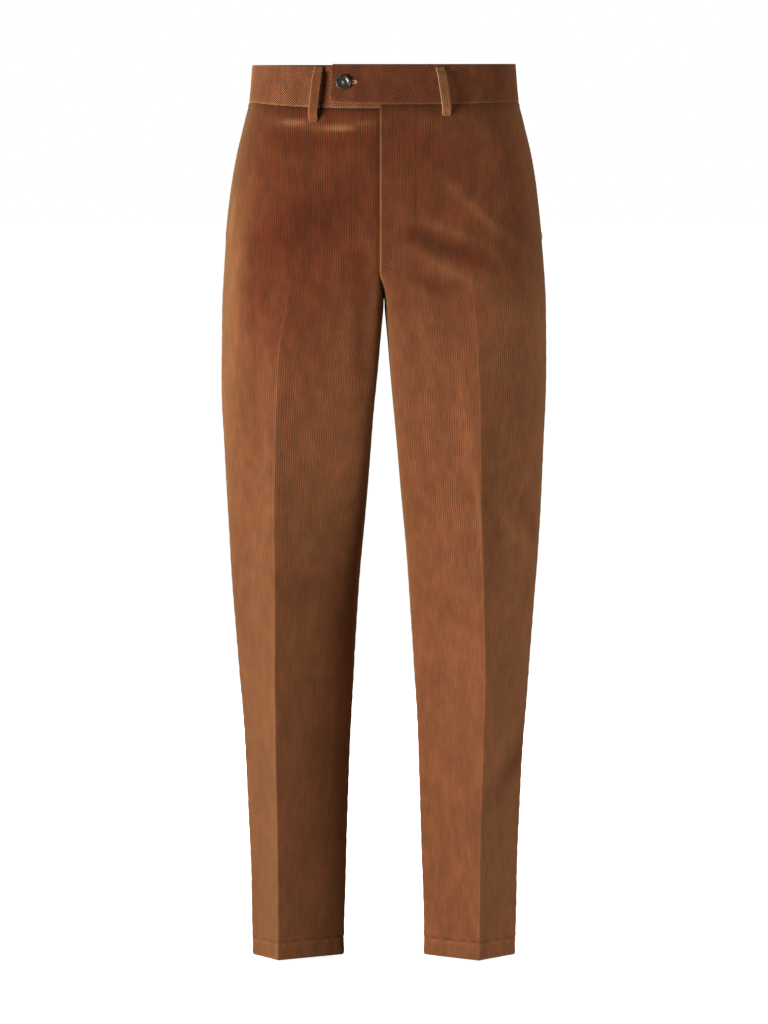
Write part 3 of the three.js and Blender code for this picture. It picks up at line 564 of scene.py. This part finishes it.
def panel(side, face):
    """One front or back. Its grid runs from the middle or the inseam to the side seam, and from the
    waist seam to the hem. Distance across the cloth is counted from the crease, and above the
    crotch from an upright line, because the ribs follow both."""
    u = np.linspace(0, 1, PANEL_COLUMNS)[None, :]
    rows = panel_rows()[:, None]
    z = raised_rows(rows, seam_height(side, face, u))
    u = np.broadcast_to(u, z.shape)
    x, y = form(side, face, u, z)
    laps = (side, face) == ("left", "front")
    if laps:
        down = 1 - smooth((FLY_SETTLE_Z - z) / (FLY_SETTLE_Z - FLY_FADE_Z))
        y = y - FLY_RAISE * down * bell(np.maximum(0, x - 8), 0, FLY_REACH)
    if face == "front":
        x = x + fly_shift(side, x, z)
    points = np.stack([x, y, z], -1)
    normals = outward_normals(points, side)
    normals[..., 0] *= 1 - bell(u, 0, 0.03) * (z > CROTCH_Z)
    normals = unit(normals)
    across = row_distances(points)
    crease_column = PANEL_COLUMNS // 2
    grain = np.abs(x[:, crease_column : crease_column + 1])
    at_crotch = np.interp(CROTCH_Z, z[::-1, crease_column], grain[::-1, 0])
    upright = at_crotch - 6 * (1 - np.exp(-(z[:, :1] - CROTCH_Z) / 35))
    grain = np.where(z[:, :1] > CROTCH_Z, upright, grain)
    across = across - along_row(grain, np.maximum.accumulate(np.abs(x), axis=1), across)
    low, high = across[:, 0], across[:, -1]
    mouth = np.zeros(len(z))
    if face == "front":
        mouth = pocket_mouth(z[:, -1])
        before = y[:, -1:] - y
        edge = along_row(-mouth[:, None], -before, across)[:, 0]
        high = np.where(mouth > 0, edge, high)
    # Slow waves all over, ripples along the side seam and the inseam, and the pocket's rolled edge
    from_side, from_middle = across[:, -1:] - across, across - across[:, :1]
    rise = 0.5 * np.sin(x / 23 + 1.3 * np.sin(z / 61)) * np.sin(z / 37 + x / 51)
    rise += 0.3 * np.sin(z / 3.1) * np.exp(-from_side / 7) * smooth((-z - 210) / 40)
    rise += 0.3 * np.sin(z / 3.4 + 1) * np.exp(-from_middle / 7) * smooth((-z - 280) / 40)
    rise += 0.7 * bell(across, high[:, None], 5) * (mouth[:, None] > 0.5)
    # The hem: a dented and puckered line of stitches, the turn-up's swell, and its rounded edge
    above_hem = z - HEM_Z
    pucker = np.sin(across / 2.9 + 2 * np.sin(across / 17))
    rise -= (0.45 + 0.2 * pucker) * bell(above_hem, HEM_STITCH, 1.6)
    rise += 0.25 * pucker * bell(above_hem, 13, 8)
    rise -= 1.2 * smooth(1 - above_hem / 2.6) ** 2
    if laps:
        curve_x = FLY_STITCH_X - FLY_STITCH_SWEEP * smooth((FLY_CURVE_Z - z) / FLY_CURVE_DROP) ** 1.6
        stitched = bell(x, curve_x, 1.3) * (z > FLY_STITCH_END_Z)
        rise -= 0.45 * stitched
    thickness = CLOTH * mix(1, HEM_LAYERS, smooth((HEM_TURN - above_hem[:, 0]) / 8))
    # Painted light and shade: darker hips and paler legs, paler and darker over the folds, the patches,
    # painted shadow in the fly's stitched line and the hem's, a painted highlight along the crease and
    # just below the hem's stitches, and painted shadow under the waist seam
    painted_shading = mix(TORSO_PAINTED_SHADE, LEG_PAINTED_LIGHT, smooth((-z - 190) / 150)) + FOLD_PAINTED_SHADING * fold_out(face, x, z)
    if face == "front":
        painted_shading += bells(PAINTED_SHADING_PATCHES, x, z)
    if laps:
        painted_shading -= 0.22 * stitched
    painted_shading += 0.35 * bell(across, 0, 1.6) * smooth((-z - 200) / 150)
    painted_shading -= (0.42 + 0.25 * pucker) * bell(above_hem, HEM_STITCH + 0.5, 1.3)
    painted_shading += 0.22 * (1 + pucker) * bell(above_hem, HEM_STITCH - 3, 1.6)
    painted_shading -= 0.55 * np.exp(-(z[0] - z) / 2.6)
    fade = 0.75 * smooth((-z - 480) / 260)
    if laps:
        fade += 0.35 * bell(z, -210, 120)
    piece = ribbed_cloth(
        f"{face}_{side}_cloth", points, normals, across, low, high, rise, thickness, brown,
        painted_shading=painted_shading, fade=fade,
    )
    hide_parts(f"{face}_{side}")


for side in SIDES:
    for face in ("front", "back"):
        panel(side, face)

# Pocket facings
# The piece of the same corduroy that shows behind each slanted opening. It is sewn into the side
# seam and goes down behind the front.

# How far the facing goes behind the front, how deep, its least reach, its foot, and the height
# below which it is tucked in as far as the side seam
POCKET_UNDERLAP, POCKET_TUCK, POCKET_LEAST, FACING_FOOT_Z, FACING_TUCK_Z = 8, CLOTH + 1.5, 2, -212, -184


def pocket_facing(side):
    """The facing between the side seam and a little behind the front's edge, sunk by the cloth's
    thickness where the front covers it."""
    u = np.linspace(0.55, 1, 120)[None, :]
    rows = np.linspace(HIP_TOP_Z, FACING_FOOT_Z, 44)[:, None]
    top = seam_height(side, "front", np.ones((1, 1))) + GAP / 2
    z = np.broadcast_to(raised_rows(rows, top), (len(rows), u.size))
    x, y = form(side, "front", np.broadcast_to(u, z.shape), z)
    x, y = x + SIDES[side] * GAP / 2, y - GAP / 2
    points = np.stack([x, y, z], -1)
    normals = outward_normals(points, side)
    across = row_distances(points)
    across = across - across[:, -1:]
    mouth = np.maximum(pocket_mouth(z), POCKET_LEAST)
    before = y[:, -1:] - y
    low = along_row(-(mouth[:, :1] + POCKET_UNDERLAP), -before, across)[:, 0]
    late = 0.6 * smooth((z + 64) / 10)
    sunk = np.maximum(smooth((before / mouth - late) / (1 - late)), smooth((FACING_TUCK_Z - z) / 14))
    rise = -POCKET_TUCK * sunk - 0.2
    shifted = points + normals * rise[..., None]
    shifted[..., 2] += 2.6 * smooth((sunk - 0.68) / 0.16) * np.exp(-(z[0] - z) / 4)
    piece = ribbed_cloth(
        f"pocket_facing_{side}_cloth", shifted, normals, across, low, across[:, -1] - GAP,
        np.zeros_like(rise), CLOTH, brown,
    )
    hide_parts(f"pocket_facing_{side}")


for side in SIDES:
    pocket_facing(side)

# Waistband
# Two halves cut on the bias, so that their ribs run at 45 degrees. The wearer's left half goes on
# past the middle as a tab with rounded corners and laps over the right half.

BAND, BAND_RIB, BAND_MIDDLE_Z, BAND_COLUMNS = 3, 2.9, np.array(-22.0), 700
# The lap tab: its length past the middle, its corners' radius, how much its lower edge rises, how
# far it stands out, and how far past the middle the band takes to settle
TAB_REACH, TAB_CORNER, TAB_LIFT, TAB_RAISE, TAB_SETTLE = 62, 5, 2.6, BAND + GAP + 0.2, 34


def waist_point(side, angle, z):
    """A point of the torso's oval at an angle from the middle of the front, half a turn in all, and
    the level direction straight out of it."""

    def at(a):
        face_y = np.where(np.cos(a) >= 0, profile("front", z), profile("back", z))
        x = profile("side", z) * oval(np.sin(a)) * SIDES[side]
        return np.stack([x, face_y * oval(np.abs(np.cos(a))), np.broadcast_to(z, x.shape)], -1)

    along = at(angle + 0.02) - at(angle - 0.02)
    out = np.stack([along[..., 1], -along[..., 0], np.zeros_like(along[..., 0])], -1)
    return at(angle), unit(out) * SIDES[side]


def waist_angle(face, x, z):
    """The angle at which the torso's oval is x from the middle."""
    angle = np.arcsin(np.clip(np.abs(x) / profile("side", z), 0, 1) ** (TORSO_POWER / 2))
    return angle if face == "front" else np.pi - angle


def tab_raise(x):
    """How far the left half stands out over the right one and just beside it."""
    return TAB_RAISE * (1 - smooth((x - 3) / TAB_SETTLE))


# The halves are a darker and a paler copy of one cloth: painted shade and painted light that stand
# in for how their ribs, leaning opposite ways, catch the light. Their very dark valleys are painted
# shade in the grooves, so that the slanting ribs show.
band_valley = (0.02, 0.005, 0.002)
shaded_band_copy = corduroy(
    "band_corduroy_left_painted_shade", (0.24, 0.066, 0.023), band_valley, (0.8, 0.4, 0.16), 0.6, 0.45, 0.25
)
lit_band_copy = corduroy(
    "band_corduroy_right_painted_light", (0.42, 0.14, 0.055), band_valley, (0.9, 0.5, 0.22), 0.8, 0.55, 0.1
)


def waistband(side):
    """One half of the band. Columns lean at 45 degrees with the ribs."""
    middle = float(waist_angle("front", GAP / 2, BAND_MIDDLE_Z))
    start = -float(waist_angle("front", TAB_REACH, BAND_MIDDLE_Z)) if side == "left" else middle
    angle = np.linspace(start, np.pi - middle, BAND_COLUMNS)
    if side == "left":
        angle = np.sort(np.concatenate([angle, start + np.linspace(0, 0.03, 24)[1:-1]]))
    share = np.concatenate([[0, 0.008, 0.03], np.linspace(0.07, 0.93, 34), [0.97, 0.992, 1]])
    top, bottom = band_edge(side, "top", angle), band_edge(side, "bottom", angle) + GAP / 2
    lap = np.clip(angle / start, 0, 1) if side == "left" else np.zeros_like(angle)
    left = np.where(lap > 0, np.clip((1 - lap) * TAB_REACH, 0, TAB_CORNER), TAB_CORNER)
    cut = TAB_CORNER - np.sqrt(TAB_CORNER**2 - (TAB_CORNER - left) ** 2)
    z = mix(top - cut, bottom + TAB_LIFT * lap + cut, share[:, None])
    points, out = waist_point(side, np.broadcast_to(angle, z.shape), z)
    near = (angle < np.pi / 2) if side == "left" else np.zeros(len(angle), bool)
    points = points + out * (PROUD + tab_raise(points[..., 0]) * near)[..., None]
    across = np.broadcast_to(row_distances(points[20:21]), z.shape)
    down = z[0].mean() - z.mean(axis=1)
    fall = np.minimum(z[0] - z, z - z[-1])
    rise = -1.1 * (1 - np.sqrt(1 - (1 - np.clip(fall / 1.5, 0, 1)) ** 2)) - 0.4
    low, high = across[:, 0], across[:, -1]
    cloth, slant = (lit_band_copy, 1) if side == "right" else (shaded_band_copy, -1)
    piece = ribbed_cloth(
        f"waistband_{side}_cloth", points, out, across, low, high, rise, BAND, cloth,
        pitch=BAND_RIB, slant=slant, down=down,
        # painted highlights along the band's lower edge and, less, its upper edge
        painted_shading=1 + 0.7 * np.exp(-(z - z[-1]) / 1.1) + 0.25 * np.exp(-(z[0] - z) / 1.1),
        fade=0.6 * smooth((points[..., 0] - 60) / 60),
    )
    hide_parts(f"waistband_{side}")


for side in SIDES:
    waistband(side)

# Belt loops
# Five strips of corduroy with the ribs lengthwise, folded under at both ends and tacked to the
# band's top edge and to the cloth below the band. They stand out so that a belt goes through.

LOOP_WIDTH, LOOP_THICK, LOOP_TOP, LOOP_STAND = 10.4, 2.2, -2, 7
# How far a loop stands out, as a share of the most, at shares of its length
LOOP_SHAPE = (
    (0, 0), (0.06, 0.12), (0.12, 0.7), (0.18, 1), (0.5, 1.06),
    (0.82, 1), (0.88, 0.7), (0.94, 0.12), (1, 0),
)
# Name, face, x at the top and at the bottom, and the bottom's height
LOOPS = (
    ("belt_loop_front_right", "front", -75, -82, -65.5),
    ("belt_loop_front_left", "front", 64.4, 72.4, -58.5),
    ("belt_loop_back_right", "back", -92, -94, -63),
    ("belt_loop_back_left", "back", 92, 94, -63),
    ("belt_loop_centre_back", "back", 0, 0, -63),
)


def belt_loop(name, face, top_x, bottom_x, bottom_z):
    """A loop: a rounded strip carried down its path, closed at both ends, with four ribs on its
    outside."""
    down = np.linspace(0, 1, 90)[:, None]
    across = np.linspace(-1, 1, 25)[None, :]
    side = "right" if top_x < 0 else "left"
    z, x = mix(LOOP_TOP, bottom_z, down), mix(top_x, bottom_x, down)
    points, out = waist_point(side, waist_angle(face, x, z), z)
    stand = np.interp(down, *zip(*LOOP_SHAPE))
    kernel = np.hanning(9) / np.hanning(9).sum()
    stand = np.convolve(np.pad(stand[:, 0], 4, mode="edge"), kernel, "valid")[:, None]
    points = points + out * (PROUD + GAP + LOOP_STAND * stand)[..., None]
    sideways = np.stack([-out[..., 1], out[..., 0], np.zeros_like(out[..., 0])], -1)
    rounding = np.sqrt(np.clip(1 - across**6, 0, 1))
    ends = np.sqrt(np.clip(1 - (1 - np.minimum(down, 1 - down) / 0.02).clip(0, 1) ** 2, 0.02, 1))
    ribs = mix(0.7, rib_height(across * LOOP_WIDTH / 2), 0.25)
    half_width = LOOP_WIDTH / 2 * (1 - 0.3 * np.clip((down - 0.95) / 0.05, 0, 1) ** 2)
    base = points + sideways * (across * half_width)[..., None]
    half = LOOP_THICK / 2 * mix(0.35, 1, rounding) * ends
    ridged = (ribs - 0.5) * 0.5 * ends
    outer = base + out * (LOOP_THICK / 2 + half + ridged)[..., None]
    inner = base + out * (LOOP_THICK / 2 - half)[..., None]
    every = np.ones_like(across * down)
    edge = np.exp(-(1 - np.abs(across)) * 4) * every
    fields = {
        "rib": (ribs * every, every),
        "edge": (edge, edge),
        "inside": (0 * every, 0 * every),
        # The loops are painted paler, with a painted highlight along the long edge towards the key
        # light
        "painted_shading": (1.16 + 0.8 * np.exp(-(1 + across) * 6) * every, every),
        "across": (across * LOOP_WIDTH / 2000 * every, 0 * every),
        "along": (base[..., 2] / 1000, base[..., 2] / 1000),
    }
    # This loop takes the waistband's paler copy: painted light
    cloth = lit_band_copy if name == "belt_loop_front_left" else brown
    piece = closed_wall(f"{name}_cloth", outer, inner, fields, cloth)
    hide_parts(name)


for row in LOOPS:
    belt_loop(*row)

# Stitches
# Thread that shows: bar tacks at the pocket openings, at the foot of the fly and at the ends of
# the loops. Each tack is a row of short stitches, side by side.

# The pocket tacks' heights and how far they lie before the side seam, and the fly tack's place
POCKET_TACKS = ((-50.5, 29.5), (-200, 2.5))
FLY_TACK_X, FLY_TACK_Z = 1.5, -235


def threads(name, starts, ends, bulge, radius, color, outs):
    """Many short stitches as one mesh, each a six-sided tube that rises in a bow between its two
    ends and goes into the cloth at both."""
    starts, ends, outs = (np.asarray(v, float) for v in (starts, ends, outs))
    t = np.linspace(0, 1, 7)[None, :, None]
    bow = bulge * np.sin(np.pi * t) - radius * 0.6
    path = mix(starts[:, None], ends[:, None], t) + outs[:, None] * bow
    along = unit(ends - starts)
    side = unit(np.cross(along, outs))
    up = np.cross(side, along)
    turn = np.linspace(0, 2 * np.pi, 7)[:-1]
    ring = side[:, None] * np.cos(turn)[None, :, None] + up[:, None] * np.sin(turn)[None, :, None]
    thin = np.sqrt(np.clip(np.sin(np.pi * np.clip(t, 0.06, 0.94)), 0.1, 1))
    points = path[:, :, None] + ring[:, None] * radius * thin[..., None]
    count, steps, round_ = points.shape[:3]
    index = np.arange(count * steps * round_).reshape(count, steps, round_)
    next_ = np.roll(index, -1, axis=2)
    a, b, c, d = index[:, :-1], next_[:, :-1], next_[:, 1:], index[:, 1:]
    quads = np.stack([a, b, c, d], -1).reshape(-1, 4).tolist()
    caps = index[:, 0, ::-1].tolist() + index[:, -1].tolist()
    mesh = bpy.data.meshes.new(name)
    mesh.from_pydata(points.reshape(-1, 3) / 1000, [], quads + caps)
    mesh.shade_smooth()
    material, nodes, links, shader = new_material(f"{name}_thread")
    texture, coordinates = nodes.new("ShaderNodeTexNoise"), nodes.new("ShaderNodeTexCoord")
    texture.inputs["Scale"].default_value = 2500
    links.new(coordinates.outputs["Object"], texture.inputs["Vector"])
    sockets = color_mix(nodes)
    sockets["A_Color"].default_value = (*[c * 0.6 for c in color], 1)
    sockets["B_Color"].default_value = (*[min(1, c * 1.35) for c in color], 1)
    links.new(texture.outputs["Fac"], sockets["Factor_Float"])
    links.new(sockets["Result_Color"], shader.inputs["Base Color"])
    set_inputs(shader, {"Roughness": 0.6, "Sheen Weight": 0.1})
    return piece_of(name, mesh, material)


def bar_tack(centre, along, out, length, height, count=14):
    """The stitches of one bar tack: side by side along its length, each across it and a little
    slanted."""
    along, out = (unit(np.array(v, float)) for v in (along, out))
    over = np.cross(out, along)
    places = np.linspace(-0.5, 0.5, count)[:, None] * length
    starts = np.array(centre) + along * places - over * height / 2
    return starts, starts + over * height + along * 0.25, np.tile(out, (count, 1))


def front_row(side, z, first, count):
    """A level row of points of a front, from this column to the side seam."""
    u = np.linspace(first, 1, count)
    return form(side, "front", u, np.full_like(u, z))


def out_of_row(side, px, py, k):
    """The level direction out of a row of points at its k-th one, from the third ones on both sides."""
    return unit(np.array([py[k + 3] - py[k - 3], px[k - 3] - px[k + 3], 0]) * SIDES[side])


def tacks(name, bulge, radius, color, parts):
    """The stitches of several bar tacks as one mesh."""
    starts, ends, outs = (np.concatenate(rows) for rows in zip(*parts))
    return threads(name, starts, ends, bulge, radius, color, outs)


tack_parts = []
for side in SIDES:
    for z, before in POCKET_TACKS:
        px, py = front_row(side, z, CREASE, 300)
        k = min(int(np.argmin(np.abs(py[-1] - py - before))), 296)
        out = out_of_row(side, px, py, k)
        tack_parts.append(bar_tack(np.array([px[k], py[k], z]) + out * 0.5, (0, 0, 1), out, 8, 2.2))
px, py = front_row("left", FLY_TACK_Z, 0, 400)
out = out_of_row("left", px, py, max(int(np.argmin(np.abs(px - FLY_TACK_X))), 3))
place = np.array([FLY_TACK_X, np.interp(FLY_TACK_X, px, py), FLY_TACK_Z])
tack_parts.append(bar_tack(place + out * 3.7, np.cross(out, (0, 0, 1)), out, 9, 1.6))
tacks("bar_tacks", 0.35, 0.3, (0.2, 0.075, 0.027), tack_parts)

loop_parts = []
for name, face, top_x, bottom_x, bottom_z in LOOPS:
    side = "right" if top_x < 0 else "left"
    for down in (0.04, 0.965):
        z, x = mix(LOOP_TOP, bottom_z, down), mix(top_x, bottom_x, down)
        place, out = waist_point(side, waist_angle(face, np.array(x), np.array(z)), np.array(z))
        place = place + out * (PROUD + GAP + LOOP_THICK + 0.35)
        loop_parts.append(bar_tack(place, np.cross(out, (0, 0, 1)), out, 8.8, 1.3, 20))
tacks("loop_tacks", 0.25, 0.24, (0.13, 0.045, 0.018), loop_parts)

# Button and buttonhole
# A four-hole horn button with a rim and a dished middle, sewn on with dark thread, and the worked
# buttonhole of tan thread that shows beside it.

BUTTON_X, BUTTON_Z, BUTTON_RADIUS = -46.8, -20, 8.8
# The button's height at shares of its radius, its rings on top and on its edge, and the buttonhole's
# middle, half its length and half its width
BUTTON_SHARES = (0, 0.3, 0.52, 0.64, 0.74, 0.84, 0.92, 0.97, 1)
BUTTON_HEIGHTS = (2.1, 2.15, 2.3, 2.75, 3.1, 3.2, 3.02, 2.6, 1.9)
TOP_RINGS, EDGE_RINGS = 60, 9
HOLE_X, HOLE_HALF, HOLE_WIDTH = -41.5, 9.5, 1.0


def polar_button(name, centre, out, material):
    """A button on a grid of radius and angle: its height follows the rim's and dish's profile,
    sinks at four thread holes, and turns under to a flat back."""
    top, side = slice(TOP_RINGS), slice(TOP_RINGS, TOP_RINGS + EDGE_RINGS)
    rings = (np.linspace(0, 1, TOP_RINGS), np.full(EDGE_RINGS, 1.0), np.linspace(0.97, 0, 10))
    share = np.concatenate(rings)[:, None]
    turn = np.linspace(0, 2 * np.pi, 129)[:-1][None, :]
    edge_fall = np.linspace(0, 1, EDGE_RINGS)[:, None]
    under = np.interp(share[side.stop :], [0, 0.6, 0.97], [0, 0, 0.5])
    above = np.interp(share[top], BUTTON_SHARES, BUTTON_HEIGHTS)
    height = np.concatenate([above, mix(1.9, 0.8, edge_fall), under]) * np.ones_like(turn)
    radius = share * BUTTON_RADIUS * np.ones_like(turn)
    radius[side] -= 0.35 * edge_fall**2
    x, z = radius * np.cos(turn), radius * np.sin(turn)
    for hx, hz in ((1.6, 1.6), (1.6, -1.6), (-1.6, 1.6), (-1.6, -1.6)):
        away = np.hypot(x[top] - hx, z[top] - hz)
        height[top] -= 2 * (1 - smooth((away - 0.62) / 0.4)) - 0.12 * bell(away, 1.1, 0.25)
    sideways = unit(np.cross((0, 0, 1), out))
    up = np.cross(out, sideways)
    points = centre + x[..., None] * sideways + z[..., None] * up + height[..., None] * out
    rows, columns = points.shape[:2]
    index = np.arange(rows * columns).reshape(rows, columns)
    next_ = np.roll(index, -1, axis=1)
    quads = np.stack([index[1:-2], next_[1:-2], next_[2:-1], index[2:-1]], -1).reshape(-1, 4)
    points = points.reshape(-1, 3)
    poles = index[0, 0], index[-1, 0]
    first = np.stack([np.full(columns, poles[0]), next_[1], index[1]], -1)
    last = np.stack([np.full(columns, poles[1]), index[-2], next_[-2]], -1)
    used = np.unique(np.concatenate([quads.ravel(), first.ravel(), last.ravel()]))
    faces = [np.searchsorted(used, f).tolist() for f in (quads, first[:, ::-1], last[:, ::-1])]
    mesh = bpy.data.meshes.new(name)
    mesh.from_pydata(points[used] / 1000, [], sum(faces, []))
    mesh.shade_smooth()
    return piece_of(name, mesh, material)


horn, horn_nodes, horn_links, horn_shader = new_material("dark_horn")
grain, grain_place = horn_nodes.new("ShaderNodeTexNoise"), horn_nodes.new("ShaderNodeTexCoord")
set_inputs(grain, {"Scale": 260, "Detail": 4, "Distortion": 1.4})
horn_ramp = horn_nodes.new("ShaderNodeValToRGB")
dark_end, pale_end = horn_ramp.color_ramp.elements
dark_end.color, pale_end.color = (0.012, 0.01, 0.009, 1), (0.11, 0.075, 0.055, 1)
pale_end.position, dark_end.position = 0.8, 0.42
horn_links.new(grain_place.outputs["Object"], grain.inputs["Vector"])
horn_links.new(grain.outputs["Fac"], horn_ramp.inputs["Fac"])
horn_links.new(horn_ramp.outputs["Color"], horn_shader.inputs["Base Color"])
set_inputs(horn_shader, {"Roughness": 0.3, "Coat Weight": 0.25, "Coat Roughness": 0.2})

seat_angle = -waist_angle("front", np.array(BUTTON_X), np.array(BUTTON_Z))
seat, seat_out = waist_point("left", seat_angle, np.array(float(BUTTON_Z)))
button_out = unit(seat_out + np.array([0.02, 0, 0.07]))
button_base = seat + seat_out * (PROUD + TAB_RAISE + GAP + 0.4)
button = polar_button("horn_button", button_base, button_out, horn)
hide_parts("waist_button")

across_button = unit(np.cross((0, 0, 1), button_out))
up_button = np.cross(button_out, across_button)
slopes, shifts = (np.array(v)[:, None] for v in ((-1, -1, -1, 1, 1, 1), (-0.28, 0, 0.28) * 2))
level = button_base + button_out * 2.0 + up_button * shifts
reach = 1.75 * (across_button + up_button * slopes)
threads(
    "button_thread", level - reach, level + reach, 0.7, 0.24,
    (0.36, 0.31, 0.27), np.tile(button_out, (6, 1)),
)

hole_turn = np.linspace(0, 2 * np.pi, 97)[:-1]
hole_x = HOLE_X + np.sign(np.cos(hole_turn)) * HOLE_HALF * np.abs(np.cos(hole_turn)) ** 0.35
hole_z = BUTTON_Z + 0.6 + HOLE_WIDTH * np.sin(hole_turn) * np.abs(np.sin(hole_turn)) ** 0.2
hole_place, hole_out = waist_point("left", -waist_angle("front", hole_x, hole_z), hole_z)
hole_place = hole_place + hole_out * (PROUD + TAB_RAISE + 0.15)
around = np.roll(hole_place, -1, 0) - np.roll(hole_place, 1, 0)
away = unit(np.cross(around, hole_out))
away *= np.sign((away * (hole_place - hole_place.mean(0))).sum(1, keepdims=True))
threads(
    "buttonhole_stitches", hole_place - away * 0.4, hole_place + away * 1.5, 0.4, 0.3,
    (0.5, 0.28, 0.13), hole_out,
)

# Floor, light and camera
# A white floor under the trousers with white all round, a large soft light on the left, a weaker
# one on the right and one behind, and a long lens at waist height that looks a little down.

floor_z, floor_reach = HEM_Z / 1000 - 0.004, 40
corner_signs = ((-1, -1), (1, -1), (1, 1), (-1, 1))
floor_corners = [(x * floor_reach, y * floor_reach, floor_z) for x, y in corner_signs]
floor_mesh = bpy.data.meshes.new("floor")
floor_mesh.from_pydata(floor_corners, [], [(0, 1, 2, 3)])
paper, _, _, paper_shader = new_material("white_paper")
set_inputs(paper_shader, {"Base Color": (0.9, 0.9, 0.9, 1), "Roughness": 0.95})
set_inputs(paper_shader, {"Emission Color": (1, 1, 1, 1), "Emission Strength": 0.93})
floor_mesh.materials.append(paper)
floor = placed("floor", floor_mesh)
floor.visible_diffuse = False
floor.visible_glossy = False

world = bpy.data.worlds.new("studio")
world.use_nodes = True
world_nodes, world_links = world.node_tree.nodes, world.node_tree.links
backdrop, seen = world_nodes["Background"], world_nodes.new("ShaderNodeLightPath")
backdrop_strength = world_nodes.new("ShaderNodeMapRange")
set_inputs(backdrop_strength, {"To Min": 0.1, "To Max": 1})
backdrop.inputs["Color"].default_value = (1, 1, 1, 1)
world_links.new(seen.outputs["Is Camera Ray"], backdrop_strength.inputs["Value"])
world_links.new(backdrop_strength.outputs["Result"], backdrop.inputs["Strength"])
bpy.context.scene.world = world


def soft_light(name, place, target, size, power, color=(1, 1, 1)):
    """An area light at a place, turned to face a target."""
    data = bpy.data.lights.new(name, "AREA")
    data.shape, data.size, data.size_y = "RECTANGLE", *size
    data.energy, data.color = power, color
    light = placed(name, data)
    light.location = place
    toward = Vector(target) - Vector(place)
    light.rotation_euler = toward.to_track_quat("-Z", "Y").to_euler()


soft_light("key", (-2.0, -1.65, -0.7), (0, 0, -0.65), (1.3, 1.6), 145, (1, 0.98, 0.95))
soft_light("fill", (2.55, -0.6, -0.7), (0, 0, -0.65), (0.9, 1.6), 66, (1, 0.98, 0.96))
soft_light("back", (-1.0, 3.4, 0.1), (0, 0, -0.6), (2, 1.6), 80, (1, 0.98, 0.96))

camera_data = bpy.data.cameras.new("camera")
camera = placed("camera", camera_data)
target, place = np.array([0, 0, -0.525]), np.array([0, -8.5, 0.0])
camera.location = place
look = Vector(target - place)
camera.rotation_euler = look.to_track_quat("-Z", "Y").to_euler()
camera_data.sensor_fit = "VERTICAL"
# The frame takes in this many metres at the trousers' distance
camera_data.sensor_height, frame_height = 24, 1.205
camera_data.lens = camera_data.sensor_height * float(np.linalg.norm(target - place)) / frame_height
camera_data.clip_end = 60
bpy.context.scene.camera = camera
bpy.context.scene.view_settings.view_transform = "Standard"
